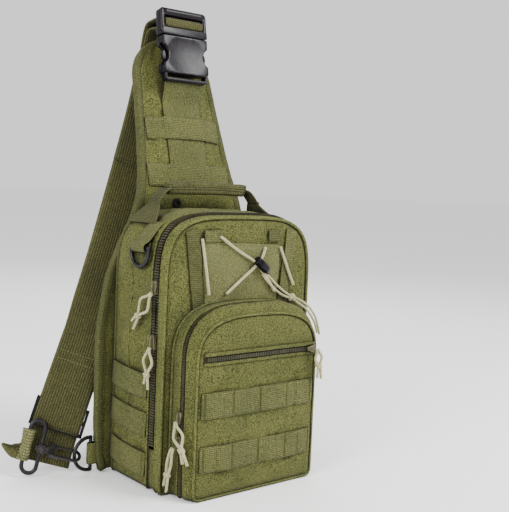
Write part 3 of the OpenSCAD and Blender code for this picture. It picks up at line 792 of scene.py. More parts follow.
def arch_face(hw, zb, zs, zt, square, y, nu, nv):
    """A grid over a tombstone shape, and how far each point is inside its edge."""
    P = np.zeros((nu + 1, nv + 1, 3))
    edge = np.zeros((nu + 1, nv + 1))
    low_rows = int(round(nv * (zs - zb) / (zt - zb)))
    for i, a in enumerate(np.linspace(-1, 1, nu + 1)):
        for j in range(nv + 1):
            if j <= low_rows:
                x, z = a * hw, zb + (zs - zb) * j / low_rows
                inside = hw - abs(x)
            else:
                b = (j - low_rows) / (nv - low_rows)
                m = max(abs(a), b)
                r = (abs(a / m) ** square + (b / m) ** square) ** (-1 / square)
                x, z = a * r * hw, zs + b * r * (zt - zs)
                inside = min(hw, zt - zs) * (1 - m)
            edge[i, j] = min(inside, z - zb)
            P[i, j] = (x, y, z)
    return P, edge


# ---------- cords ----------

def placed(matrix, points):
    """Points of a local frame in the row frame, both in millimetres."""
    return np.array([matrix @ Vector(p) for p in points])


def turned(place, z_turn=0.0, y_turn=0.0, x_turn=0.0):
    """A local frame at a place: turned about Z last, then Y, then X, in degrees."""
    return (Matrix.Translation(place) @ Matrix.Rotation(math.radians(z_turn), 4, "Z")
            @ Matrix.Rotation(math.radians(y_turn), 4, "Y") @ Matrix.Rotation(math.radians(x_turn), 4, "X"))


def knot(name, centre, radius, body, axis=(0, 0, 1)):
    """An overhand knot: a cord wound round itself twice."""
    turn = np.linspace(0, 2 * math.pi, 61)[:-1]
    wide = radius * 0.52
    reach = 1 + 0.42 * np.cos(3 * turn)
    line = wide * np.stack([reach * np.cos(2 * turn), reach * np.sin(2 * turn), 0.75 * np.sin(3 * turn)],
                           axis=1)
    aim = Vector((0, 0, 1)).rotation_difference(Vector(axis)).to_matrix().to_4x4()
    line = placed(Matrix.Translation(centre) @ aim, line)
    return tube(name, line, radius * 0.42, BRAID, body, 8, closed=True)


def free_cord(name, route, diameter, body, material, swaps=()):
    """One run of cord through the points of a route."""
    line = even(curve(route, 8), diameter * 0.6)
    cord = tube(name, line, diameter / 2, material, None, 10)
    if body:
        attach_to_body(cord, body)
    if swaps:
        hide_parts(*swaps)
    return cord


CORD_Y = FRONT_Y - 4
SHOCK_D = 3
PULL_D = 2.8
BUNGEE_RUNS = {
    "bungee_left": [(-56, CORD_Y, 249), (-50, CORD_Y, 220), (-45, CORD_Y, 194)],
    "bungee_down": [(-33, CORD_Y, 251), (-10, CORD_Y - 0.4, 237), (14, CORD_Y - 0.8, 224.5),
                    (22, CORD_Y + 0.7, 217),
                    (30, CORD_Y, 209), (42, CORD_Y, 194)],
    "bungee_up": [(-23, CORD_Y, 194), (-4, CORD_Y - 0.4, 208), (13.4, CORD_Y - 0.8, 220.6),
                  (22, CORD_Y - 0.8, 229),
                  (27, CORD_Y, 240)],
    "bungee_right": [(48, CORD_Y, 240), (60, CORD_Y, 216), (69, CORD_Y, 199.5)],
}
KNOT = (66.5, -47.2, 186.5)
TAIL_RUNS = {
    "bungee_tail_upper": [(67, -47, 187), (76, -47.6, 184), (88, -50, 177), (97, -54, 164), (101, -57, 146)],
    "bungee_tail_lower": [(66, -47, 186), (75, -48.4, 180.5), (86, -51, 173), (94, -55, 160),
                          (97, -57.5, 148)],
}
LINK_RUNS = {
    "lock_cord_upper": [(27, -46.5, 215), (40, -46.6, 204), (54, -46.8, 194), (66, -47.2, 187.5)],
    "lock_cord_lower": [(24, -46.5, 212), (36, -46.6, 201), (51, -46.8, 190.5), (65, -47.2, 185.5)],
}

# Each pull: its frame, length, width, tails and splay
PULLS = {
    "main_pull_upper": (turned((-MAIN_HW, ZIP_Y, 195.5), -90, 40), 30, 15, (13, 17), 4),
    "main_pull_lower": (turned((-MAIN_HW, ZIP_Y, 142.5), -90, 4), 25, 14, (11, 15), 4),
    "pocket_pull_upper": (turned((-POCKET_HW, POCKET_SLIDER_Y, 75.5), -90, -26), 25, 15, (13, 16), 4),
    "pocket_pull_lower": (turned((-POCKET_HW - 3, POCKET_SLIDER_Y, 51), -90, 12), 26, 6, (14, 18), 3),
    "small_zip_pull": (turned((72, FACE_Y - 2.2, 136), 0, -8), 16, 9, (13, 15), 3),
}


def add_bungee():
    for name, route in BUNGEE_RUNS.items():
        free_cord(name, route, SHOCK_D, "front_flap", SHOCK)
    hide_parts("bungee_cord")
    tied = knot("bungee_knot", KNOT, 4, "bag", (0.8, 0, -0.6))
    for i, (name, route) in enumerate(TAIL_RUNS.items()):
        free_cord(name, route, 2.4, "bag", BRAID,
                  ["bungee_tail"] if i == 0 else [])
    for name, route in LINK_RUNS.items():
        link = free_cord(name, route, 2.4, None, BRAID)
        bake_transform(link)


def add_pulls():
    for name, (matrix, long, wide, tails, splay) in PULLS.items():
        y = -6.6
        tied = knot(name + "_knot", placed(matrix, [(0, y, -long - 1)])[0], 3.4, name)
        for side, tail in zip((-1, 1), tails):
            splayed = splay if side < 0 else splay * 0.8
            reach = 0.2 if side > 0 else 0
            route = [(side * 0.8, y + reach + 1.2, 1.0), (side * 1.6, y + reach, -long * 0.14),
                     (side * wide / 2, y, -long * 0.52), (side * 2.2, y, -long * 0.88),
                     (side * 0.9, y, -long - 1),
                     (side * 1.8, y, -long - 3.5), (side * splayed, y + 0.5, -long - tail)]
            free_cord(f"{name}_{'left' if side < 0 else 'right'}", placed(matrix, route), PULL_D, name, BRAID,
                      [name] if side < 0 else [])


# ---------- solid pieces from outlines ----------

def prism(name, outline, low, high, matrix, material, body, edge=0.6, segments=2, holes=()):
    """A plate drawn in the local X-Z plane, from y low to y high, with rounded edges and through holes."""
    obj = raw_prism(name, outline, low, high, matrix, material)
    for i, hole in enumerate(holes):
        cutter = raw_prism(f"cut_{i}", hole, low - 5, high + 5, matrix, material)
        carve(obj, cutter)
    if edge:
        bevel(obj, edge, segments)
    smooth_by_angle(obj)
    return attach(obj, body)


def raw_prism(name, outline, low, high, matrix, material):
    outline = np.asarray(outline, float)
    n = len(outline)
    area = np.sum(outline[:, 0] * np.roll(outline[:, 1], -1) - np.roll(outline[:, 0], -1) * outline[:, 1])
    if area < 0:
        outline = outline[::-1]
    points = [(x, y, z) for y in (low, high) for x, z in outline]
    faces = [list(range(n)), list(reversed(range(n, 2 * n)))]
    faces += [[k, n + k, n + (k + 1) % n, (k + 1) % n] for k in range(n)]
    uv = [(points[v][0], points[v][2] + points[v][1]) for f in faces for v in f]
    return make(name, placed(matrix, points), faces, uv, material, None)


def smooth_by_angle(obj, angle=35):
    mesh = obj.data
    mesh.polygons.foreach_set("use_smooth", [True] * len(mesh.polygons))
    mesh.set_sharp_from_angle(angle=math.radians(angle))


def round_rect(w, h, r, cx=0.0, cz=0.0, steps=5):
    """A rounded rectangle about a centre."""
    points = []
    for sx, sz, start in ((1, 1, 0), (-1, 1, 90), (-1, -1, 180), (1, -1, 270)):
        for k in range(steps + 1):
            a = math.radians(start + 90 * k / steps)
            points.append((cx + sx * (w / 2 - r) + r * math.cos(a), cz + sz * (h / 2 - r) + r * math.sin(a)))
    return points


def lathe(name, profile, matrix, material, body, sides=28):
    """A profile of (radius, height) turned about the local Z axis, closed at both ends."""
    turn = np.linspace(0, 2 * math.pi, sides, endpoint=False)
    rings = [[(r * math.cos(a), r * math.sin(a), z) for a in turn] for r, z in profile]
    points = [p for ring in rings for p in ring]
    faces, uv = [], []
    along = spans(np.array(profile, float))
    for i in range(len(rings) - 1):
        for j in range(sides):
            k = (j + 1) % sides
            faces.append([i * sides + j, i * sides + k, (i + 1) * sides + k, (i + 1) * sides + j])
            uv += [(j, along[i]), (j + 1, along[i]), (j + 1, along[i + 1]), (j, along[i + 1])]
    faces += [list(reversed(range(sides))), list(range(len(points) - sides, len(points)))]
    uv += [(points[v][0], points[v][1]) for f in faces[-2:] for v in f]
    obj = make(name, placed(matrix, points), faces, uv, material, body)
    smooth_by_angle(obj)
    return obj


def closed_arch(hw, zs, zt, square, corner=5, zb=0.4, step=4.0):
    """A closed tombstone outline in X and Z from the middle of its base, up the left side and round."""
    side = [(-hw, z) for z in np.linspace(zb + corner, zs, 40)]
    foot = [(-hw + corner * (1 - math.cos(a)), zb + corner * (1 - math.sin(a)))
            for a in np.linspace(math.pi / 2, 0, 7)]
    base = [(x, zb) for x in np.linspace(0, -hw + corner, 24, endpoint=False)]
    top = []
    for a in np.linspace(math.pi, math.pi / 2, 40)[1:]:
        c, s = math.cos(a), math.sin(a)
        top.append((-hw * abs(c) ** (2 / square), zs + (zt - zs) * s ** (2 / square)))
    left = np.array(base + foot[:-1] + side + top)
    right = left[1:-1][::-1] * [-1, 1]
    whole = np.vstack([left, right, left[:1]])
    return even_loop(whole[:-1], int(round(spans(whole)[-1] / step / 2)) * 2)


def loop_out(line):
    """Outward directions of a closed line that lies in X and Z."""
    ahead = headings(line, closed=True)
    return np.stack([-ahead[:, 2], 0 * ahead[:, 0], ahead[:, 0]], axis=1)


def wall(name, stations, material, body, cells=3, bulge=0.0):
    """A closed wall of cloth through several loops, front one first."""
    rows = [stations[0]]
    for a, b in zip(stations, stations[1:]):
        for k in range(1, cells + 1):
            rows.append(a + (b - a) * k / cells)
    P = np.stack(rows, axis=1)
    if bulge:
        t = np.linspace(0, 1, P.shape[1])
        out = loop_out(stations[0])
        swell = bulge * np.sin(math.pi * t) ** 0.7
        P = P + out[:, None] * swell[None, :, None] * np.clip(stations[0][:, 2] / 20, 0, 1)[:, None, None]
    return grid(name, P, material, body, closed=True)


# ---------- back panel and shoulder pad ----------

def side_width(s):
    return np.mean([np.interp(s + d, SIDE_LENGTHS, SIDE_WIDTHS) for d in (-8, 0, 8)], axis=0)


BACK_TOP = PAD_BEND + PAD_LENGTH
CROWN_R = 49
BEND_HALF = 14


def back_lean(s):
    """How far the back panel and pad lean, s millimetres up them."""
    t = np.clip((s - PAD_BEND + BEND_HALF) / (2 * BEND_HALF), 0, 1)
    return PAD_LEAN * t * t * (3 - 2 * t)


BACK_S = np.linspace(0, BACK_TOP + 4, 800)
BACK_LEAN = back_lean(BACK_S)
BACK_STEP = BACK_S[1] - BACK_S[0]
MEAN_LEAN = (BACK_LEAN[1:] + BACK_LEAN[:-1]) / 2
BACK_LINE_Y = PANEL_Y + np.concatenate([[0], np.cumsum(np.sin(MEAN_LEAN) * BACK_STEP)])
BACK_LINE_Z = np.concatenate([[0], np.cumsum(np.cos(MEAN_LEAN) * BACK_STEP)])


def on_back(x, depth, s):
    """A point on the back: across, behind its front face, and along it."""
    y = np.interp(s, BACK_S, BACK_LINE_Y)
    z = np.interp(s, BACK_S, BACK_LINE_Z)
    lean = np.interp(s, BACK_S, BACK_LEAN)
    return np.stack([x + 0 * s, y + depth * np.cos(lean), z - depth * np.sin(lean)], axis=-1)


def back_width(s):
    low = side_width(np.minimum(s, BACK_TOP - CROWN_R))
    high = np.sqrt(np.maximum(CROWN_R ** 2 - np.maximum(s - (BACK_TOP - CROWN_R), 0) ** 2, 0))
    return np.where(s < BACK_TOP - CROWN_R, low, high * low / CROWN_R)


def back_thick(s):
    return np.interp(s, [PAD_BEND - 8, PAD_BEND + 8], [PANEL_BACK - PANEL_Y, PAD_THICK])


def back_rows():
    low = np.linspace(2, BACK_TOP - CROWN_R, 86)
    turn = np.linspace(0, math.pi / 2 - 0.12, 12)[1:]
    return np.concatenate([low, BACK_TOP - CROWN_R + CROWN_R * np.sin(turn)])


def add_back():
    rows = back_rows()
    cols = 30
    section = []
    for face in (-1, 1):
        for k in range(cols):
            section.append((math.sin(face * (math.pi / 2 - math.pi * k / (cols - 1))), face))
    P = np.zeros((2 * cols, len(rows), 3))
    for j, s in enumerate(rows):
        width = back_width(s) - 2.5
        thick = back_thick(s)
        for i, (a, side) in enumerate(section):
            rim = max(1 - abs(a) ** 14, 0.0)
            edge = min(1.0, max(0.0, (BACK_TOP - s) / 7)) ** 0.5
            half = (thick / 2 - 0.5) * (0.62 + 0.38 * rim * edge)
            P[i, j] = on_back(a * width, thick / 2 + side * half, np.array(float(s)))
    flat = P.reshape(-1, 3)
    nu, nv = P.shape[:2]
    faces, uv = [], []
    for i in range(nu):
        k = (i + 1) % nu
        for j in range(nv - 1):
            faces.append([i * nv + j, k * nv + j, k * nv + j + 1, i * nv + j + 1])
            uv += [(flat[v][0], rows[v % nv]) for v in faces[-1]]
    for j, order in ((0, -1), (nv - 1, 1)):
        for i in range(cols - 1):
            faces.append([k * nv + j for k in (i, i + 1, nu - 2 - i, nu - 1 - i)][::order])
            uv += [(flat[v][0], flat[v][1]) for v in faces[-1]]
    pad = make("padded_back", flat, faces, uv, CLOTH, None)
    pad.data.materials.append(YOKE)
    for poly in pad.data.polygons:
        poly.material_index = int(poly.normal.y > 0.5)
    settle(pad, lambda p: rise(p[:, 2], 292, 30) * fall(abs(p[:, 0]), back_width(p[:, 2]) - 8, 12), 2.2, 0.03,
           3.0)
    wrinkle(pad, 0.7, 34, 3)
    refine(pad)
    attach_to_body(pad, "bag")
    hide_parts("back_panel", "shoulder_pad")
    add_yoke_band(Skin(pad))
    return pad


def add_yoke_band(skin):
    """The webbing across the back at the foot of the pad, with a stitched edge above and below."""
    x = np.linspace(-58, 58, 60)
    base, _ = skin.lay([(a, PANEL_BACK + 12, 283) for a in x], (0, -1, 0))
    line = base + np.array([0, 1.0, 0])
    out = repeated(BACKWARD, len(x))
    flat_web("yoke_band", line, repeated(UP, len(x)), out, BAND_H, BAND_T, BAND, "bag")
    rows = [(line + [0, 0.95, level], out) for level in (BAND_H / 2 - 2, 2 - BAND_H / 2)]
    stitches("yoke_band_stitches", rows, "bag")


def back_outline(inset, step=5.0):
    """The outline of the back and pad, from the left foot over the top to the right: across and along."""
    s = np.concatenate([np.linspace(1.5, BACK_TOP - CROWN_R, 120),
                        BACK_TOP - CROWN_R + CROWN_R * np.sin(np.linspace(0, math.pi / 2, 24)[1:])])
    left = np.stack([-back_width(s), s], axis=1)
    whole = np.vstack([left, left[:-1][::-1] * [-1, 1]])
    whole = even(whole, step)
    ahead = unit(np.gradient(whole, axis=0))
    return whole + np.stack([ahead[:, 1], -ahead[:, 0]], axis=1) * inset


def add_binding():
    """Ribbed tape folded over the edge of the back and pad."""
    ring = back_outline(2.6, 3.0)
    x, s = ring[:, 0], ring[:, 1]
    thick = back_thick(s)
    line = on_back(x, thick / 2, s)
    depth_axis = unit(on_back(x, thick / 2 + 1, s) - line)
    ahead = headings(line)
    across = unit(np.cross(ahead, depth_axis))
    half = PANEL_BACK - PANEL_Y
    section = []
    for a, r in ((0, 1), (25, 1), (50, 0.98), (75, 0.98), (105, 0.98), (130, 0.98), (155, 1), (180, 1),
                 (205, 1), (230, 0.98), (255, 0.98), (285, 0.98), (310, 0.98), (335, 1)):
        c, q = math.cos(math.radians(a)), math.sin(math.radians(a))
        section.append((math.copysign(abs(c) ** 0.55, c) * 4.2 * r,
                        math.copysign(abs(q) ** 0.4, q) * (half / 2 + 0.4)))
    tape = sweep("edge_tape", line, across, depth_axis, section, BINDING, None)
    wrinkle(tape, 0.35, 9, 5)
    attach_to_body(tape, "bag")
    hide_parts("edge_binding")
    rows = []
    ring = back_outline(6.2, 3.0)
    x, s = ring[:, 0], ring[:, 1]
    thick = back_thick(s)
    keep = slice(6, -6)
    for out in (-1, 1):
        at = thick / 2 + out * (thick / 2 + 0.1)
        rows.append((on_back(x, at, s)[keep], unit(on_back(x, at + out, s) - on_back(x, at, s))[keep]))
    stitches("edge_tape_stitches", rows, "bag")


def add_pad_webbing(pad):
    """The pad's webbing, from its foot up under the bands to the buckle, and the two bands over it."""
    skin = Skin(pad)
    front = np.array([0, -math.cos(PAD_LEAN), math.sin(PAD_LEAN)])
    axis_z = np.array([0, math.sin(PAD_LEAN), math.cos(PAD_LEAN)])
    rows = [(0, *p) for p in ((44.6, 294), (52, 318), (60.5, 346), (67, 368))]
    laid, _ = skin.lay(rows, -front, STRAP_T / 2 + 0.1)
    route = [(*p, 0) for p in laid]
    route += [(0, 70.4, 388, 0), (0, 68.2, 403, 0), (0, 66.4, 412, 0), (0, 66.0, 416.6, 0)]
    path = curve(route)
    across, out = ribbon_axes(path[:, :3], path[:, 3])
    web = flat_web("pad_web", path[:, :3], across, out, STRAP_W, STRAP_T, WEB, "bag", 12)
    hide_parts("pad_webbing")
    bands, seams = [], []
    for i, s in enumerate((8.5, 60.5)):
        middle = PAD_BEND + s + BAND_H / 2
        hw = back_width(np.array(middle + BAND_H / 2)) - 5.5
        x = np.linspace(-hw, hw, 61)
        base, _ = skin.lay(on_back(x, -2.0, np.full(len(x), middle)), -front)
        step = np.clip((STRAP_W / 2 + 4 - np.abs(x)) / 4, 0, 1)
        height = 1.0 + 2.7 * step * step * (3 - 2 * step)
        line = base + front * height[:, None]
        ahead = headings(line)
        up = repeated(axis_z, len(x))
        out = unit(np.cross(up, ahead))
        out *= np.sign(out @ front)[:, None]
        bands.append(flat_web(f"pad_band_{i}", line, up, out, BAND_H, BAND_T, BAND, "bag"))
        for side in (-1, 1):
            for edge in (STRAP_W / 2 + 5.5, STRAP_W / 2 + 8.5):
                z = np.linspace(-BAND_H / 2 + 1.5, BAND_H / 2 - 1.5, 12)
                at = sample(line, x, side * edge)
                seams.append((at + z[:, None] * axis_z + front * 0.9, repeated(front, len(z))))
    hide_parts("pad_bands")
    stitches("pad_band_stitches", seams, "bag", pitch=1.5, length=1.6, width=0.5)


MESH_SHAPE = (80, 10, 150, 262, 2.2)  # its half-width, foot, straight height, top and squareness


def add_back_mesh():
    """The quilted air-mesh panel on the back, with its sewn channels and its edging."""
    hw, low, _, top, _ = MESH_SHAPE
    P, edge = arch_face(*MESH_SHAPE, 0, 64, 90)
    x, z = P[..., 0], P[..., 2]
    lift = 3.4 * (1 - np.exp(-edge / 3.0)) + 0.2
    for channel in (-38, 38):
        lift -= 2.3 * np.exp(-((x - channel * (1 - 0.15 * (z / top))) / 2.4) ** 2) * (z < 250)
    for level in (84, 168):
        lift -= 2.0 * np.exp(-((z - level - 0.0012 * x * x * 6) / 2.4) ** 2)
    P[..., 1] = PANEL_BACK + lift
    mesh = grid("back_mesh", P, MESH, None, flip=True, plane=True)
    wrinkle(mesh, 0.5, 22, 8)
    solid_under(mesh, PANEL_BACK - 1.0)
    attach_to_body(mesh, "bag")
    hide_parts("mesh_panel")
    rim = in_plane(arch(*MESH_SHAPE), PANEL_BACK + 1.0)
    foot = np.stack([np.linspace(hw, -hw, 40), np.full(40, PANEL_BACK + 1.0), np.full(40, float(low))],
                    axis=1)
    ring = np.vstack([rim, foot[1:-1]])
    edging = tube("mesh_piping", even(np.vstack([ring, ring[:1]]), 3.0)[:-1], 1.9, BINDING, "bag",
                  8, True)
    add_back_tab()


def add_back_tab():
    """The sewn tab at the foot of the back."""
    low, high = extent("back_tab")
    count = 24
    line = np.stack([np.full(count, -10.5), low[1] + 0.7 + 0.5 * np.sin(np.linspace(0, 3.14, count)),
                     np.linspace(high[2], low[2], count)], axis=1)
    tab = flat_web("lower_tab", line, repeated((1, 0, 0), count), repeated(BACKWARD, count), high[0] - low[0],
                   1.8, WEB,
                   "bag", 14)
    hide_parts("back_tab")
    x = np.linspace(-35, 14, 30)
    rows = []
    for z in (high[2] - 3, high[2] - 8, low[2] + 4):
        row = np.stack([x, np.full(len(x), low[1] + 1.9), np.full(len(x), z)], axis=1)
        rows.append((row, repeated(BACKWARD, len(x))))
    stitches("lower_tab_stitches", rows, "bag")


def solid_under(obj, y):
    """Closes a raised panel down to a plane behind it."""
    mesh = obj.data
    bm = bmesh.new()
    bm.from_mesh(mesh)
    layer = bm.loops.layers.uv["UVMap"]
    edges = [e for e in bm.edges if e.is_boundary]
    grown = bmesh.ops.extrude_edge_only(bm, edges=edges)["geom"]
    for v in (g for g in grown if isinstance(g, bmesh.types.BMVert)):
        v.co.y = y * MM
    bmesh.ops.holes_fill(bm, edges=[e for e in bm.edges if e.is_boundary], sides=0)
    bmesh.ops.recalc_face_normals(bm, faces=bm.faces)
    for face in bm.faces:
        for loop in face.loops:
            if loop[layer].uv.length == 0:
                loop[layer].uv = (loop.vert.co.x, loop.vert.co.z + loop.vert.co.y)
    bm.to_mesh(mesh)
    bm.free()
    mesh.polygons.foreach_set("use_smooth", [True] * len(mesh.polygons))


# ---------- zips ----------

def teeth(name, line, across, out, body, pitch=2.0, size=(1.5, 1.25, 1.3)):
    """A row of moulded teeth along a line; across points from the tape to the teeth's tips."""
    s = spans(line)
    count = max(2, int(s[-1] / pitch))
    verts, faces, uv = [], [], []
    ahead = headings(line)
    long, wide, high = size
    for i in range(count):
        at = (i + 0.5) * s[-1] / count
        centre, side, up, go = (sample(values, s, at) for values in (line, across, out, ahead))
        base = len(verts)
        for w, taper in ((-long, 1.0), (0.4, 1.0), (long, 0.62)):
            for g, h in ((-1, -1), (1, -1), (1, 1), (-1, 1)):
                lift = up * h * high / 2 * (0.7 + 0.3 * taper)
                verts.append(centre + side * w + go * g * wide / 2 * taper + lift)
        for k in (0, 4):
            for j in range(4):
                q = (j + 1) % 4
                faces.append([base + k + j, base + k + q, base + k + 4 + q, base + k + 4 + j])
        faces += [[base + 3, base + 2, base + 1, base], [base + 8, base + 9, base + 10, base + 11]]
        uv += [(0, 0)] * (4 * 10)
    return make(name, verts, faces, uv, TEETH, body, smooth=False)


def slider_piece(name, matrix, size, body, mirror=1):
    """A zip slider: a waisted top plate, its bridge, and the ring that the cord hangs from."""
    shape = [(-4.4, 6.2), (-3.2, 7.2), (0, 6.4), (3.2, 7.2), (4.4, 6.2), (4.2, 1.5), (2.9, -3.0), (2.7, -6.4),
             (1.6, -7.2),
             (-1.6, -7.2), (-2.7, -6.4), (-2.9, -3.0), (-4.2, 1.5)]
    outline = [(x * size, z * size * mirror) for x, z in shape]
    middle = round_rect(2.2 * size, 5 * size, 0.8 * size, 0, 2.5 * size * mirror)
    pieces = [prism(f"{name}_{part}", shape, low, high, matrix, SLIDER, None, edge)
              for part, shape, low, high, edge in (
                  ("plate", outline, -3.3 * size, -1.6 * size, 0.45),
                  ("under", [(x * 0.9, z * 0.9) for x, z in outline], -0.9 * size, 0.2, 0.3),
                  ("post", middle, -1.8 * size, -0.7 * size, 0))]
    bridge = [(0, -2.6, 4.6), (0, -4.4, 3.8), (0, -5.0, 1.2), (0, -5.0, -2.2), (0, -4.4, -4.4),
              (0, -2.6, -5.0)]
    bail = tube(name + "_bail",
                placed(matrix, curve([(x, y * size, z * size * mirror) for x, y, z in bridge], 5)),
                0.95 * size, SLIDER, None, 8)
    ring = [(1.9 * math.cos(a), -5.9 + 0.5 * math.cos(a), -5.0 * mirror * size + 2.0 * math.sin(a))
            for a in np.linspace(0, 2 * math.pi, 17)[:-1]]
    eye = tube(name + "_ring", placed(matrix, ring), 0.55, SLIDER, None, 6, True)
    whole = join(name + "_metal", [*pieces, bail, eye], body)
    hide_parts(name)


def add_sliders():
    for name, place, mirror in (("main_slider_upper", (-MAIN_HW, ZIP_Y, 201), 1),
                                ("main_slider_lower", (-MAIN_HW, ZIP_Y, 148), -1)):
        slider_piece(name, turned(place, -90), 1.0, name, mirror)
    for name, place, mirror in (("pocket_slider_upper", (-POCKET_HW, POCKET_SLIDER_Y, 80), 1),
                                ("pocket_slider_lower", (-POCKET_HW, POCKET_SLIDER_Y, 56), -1)):
        slider_piece(name, turned(place, -90), 0.85, name, mirror)
    slider_piece("small_zip_slider", turned((68, FACE_Y - 2.2, SMALL_ZIP_Z), 0, 90), 0.8, "small_zip_slider")


# ---------- main compartment ----------

GROUND = 0.1                          # the lowest any piping comes


def piping(name, line, radius, material, body):
    """Piping round a closed line, kept up where it would reach into the ground."""
    raised = np.column_stack([line[:, :2], np.maximum(line[:, 2], radius + GROUND)])
    return tube(name, raised, radius, material, body, 8, True)


def teardrop(z):
    """How far the main zip stands open at a height, between its two sliders."""
    t = np.clip((z - 150) / 48, 0, 1)
    return 2.3 * np.sin(math.pi * t) ** 0.7


CROWN_DROP = 4.6                      # how much lower the front edge of the crown lies than the zip


def add_main():
    body = closed_arch(MAIN_HW - 0.6, MAIN_STRAIGHT, MAIN_TOP - 0.6, MAIN_SQUARE)
    count = len(body)

    def loop(inset, drop):
        return even_loop(closed_arch(MAIN_HW - inset, MAIN_STRAIGHT, MAIN_TOP - drop, MAIN_SQUARE), count)

    tight = loop(2.2, 2.2)
    brow = loop(1.0, CROWN_DROP)
    rim = loop(0.8, CROWN_DROP - 1.2)

    # The deep side panel, from the zip back to the padded back
    loops = [in_plane(tight, GUSSET_Y + 0.5), in_plane(body, GUSSET_Y + 3), in_plane(body, 12),
             in_plane(body, 42.5), in_plane(tight, PANEL_Y - 0.4)]
    gusset = wall("main_side", loops, CLOTH, None, 7)
    settle(gusset, lambda p: (p[:, 2] > 8) * rise(p[:, 1] - GUSSET_Y, 3, 12) * fall(p[:, 1], 42, 12), 2.6,
           0.02, 3.0)
    wrinkle(gusset, 1.1, 40, 11, lambda p: rise(p[:, 2], 0, 20) * rise(p[:, 1], GUSSET_Y, 9)
            * fall(p[:, 1], 44, 9),
            (1, 1, 0.55))
    thicken(gusset, 1.8)
    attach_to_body(gusset, "bag")
    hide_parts("main_gusset")

    # The front panel in one cloth
    P, edge = arch_face(MAIN_HW - 1.6, 0.4, MAIN_STRAIGHT, MAIN_TOP - CROWN_DROP - 0.6, MAIN_SQUARE, FRONT_Y,
                        56, 92)
    P[..., 1] += 2.6 * np.exp(-edge / 2.2) + 0.4
    front = grid("front_panel", P, CLOTH, None, plane=True)
    settle(front, lambda p: rise(p[:, 2], 150, 60) * fall(abs(p[:, 0]), MAIN_HW - 10, 20)
           * fall(p[:, 2], MAIN_TOP - 10, 20), 1.2, 0.012, 1.2)
    wrinkle(front, 0.8, 46, 4, lambda p: rise(p[:, 2], 150, 30) * fall(abs(p[:, 0]), MAIN_HW - 4, 16)
            * fall(p[:, 2], MAIN_TOP - 3, 16))
    thicken(front, 1.8)
    fold(front)
    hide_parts("lower_front", "front_flap")

    # The narrow side of the front panel, its piping and the two halves of the zip tape
    loops = [in_plane(brow, FRONT_Y + 2.2), in_plane(rim, ZIP_Y - 5.4), in_plane(tight, ZIP_Y - 5.0)]
    edge_loop = wall("front_side", loops, PAINTED_HIGHLIGHT_PIPE_CLOTH, None, 3, 0.5)
    thicken(edge_loop, 1.4)
    fold(edge_loop)
    for name, y, line, radius in (("front_piping", FRONT_Y + 1.3, brow, 1.7),
                                  ("zip_piping_front", ZIP_Y - 5.8, rim, 1.1)):
        fold(piping(name, in_plane(line, y), radius, PAINTED_HIGHLIGHT_PIPE_CLOTH, None))
    piping("zip_piping_rear", in_plane(body, GUSSET_Y + 1.6), 1.2, PAINTED_HIGHLIGHT_PIPE_CLOTH, "bag")
    piping("back_piping", in_plane(body, PANEL_Y - 2.2), 1.5, BINDING, "bag")
    add_main_zip(tight)


def fold(obj):
    """Bakes the placement of the front panel, or of a piece sewn to it, into its mesh."""
    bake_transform(obj)


def add_main_zip(outline):
    """The two halves of the main zip, which stand open between the sliders on the left side."""
    count = len(outline)
    ring = in_plane(outline, ZIP_Y)
    open_left = np.where(np.arange(count) < count // 2, teardrop(ring[:, 2]), 0)
    above = ring[:, 2] > ZIP_END - 3
    run = np.where(above)[0]
    line = ring[run]
    gap = open_left[run]
    out = loop_out(ring)[run]
    for name, side, edge_y, node in (("front", -1, ZIP_Y - 5.6, "flap_zip"),
                                     ("rear", 1, GUSSET_Y + 0.4, "main_zip")):
        seam = line.copy()
        seam[:, 1] = edge_y
        tips = line.copy()
        tips[:, 1] += side * (0.9 + gap)
        sag = line - out * (0.5 * gap)[:, None]
        tips[:, [0, 2]] = sag[:, [0, 2]]
        mid = (seam + tips) / 2 - out * 0.35
        rows = [seam, mid, tips] if side < 0 else [tips, mid, seam]
        tape = grid(f"main_tape_{name}", np.stack(rows, axis=1), TAPE, None)
        thicken(tape, 0.9)
        towards = repeated((0, -side, 0), len(line))
        chain = teeth(f"main_teeth_{name}", tips + out * 1.5 - towards * 0.4, towards, out, None,
                      2.7, (2.3, 1.5, 2.4))
        if side < 0:
            fold(tape)
            fold(chain)
        else:
            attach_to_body(tape, "bag")
            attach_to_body(chain, "bag")
        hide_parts(node)
    keep = np.where(~above)[0]
    keep = np.roll(keep, -int(np.argmax(np.diff(keep) > 1)) - 1) if np.any(np.diff(keep) > 1) else keep
    low = ring[keep]
    foot = grid("zip_foot", np.stack([low + [0, d, 0] for d in (-6.2, 0, 6.2)], axis=1), CLOTH, None)
    thicken(foot, 1.4)
    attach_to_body(foot, "bag")


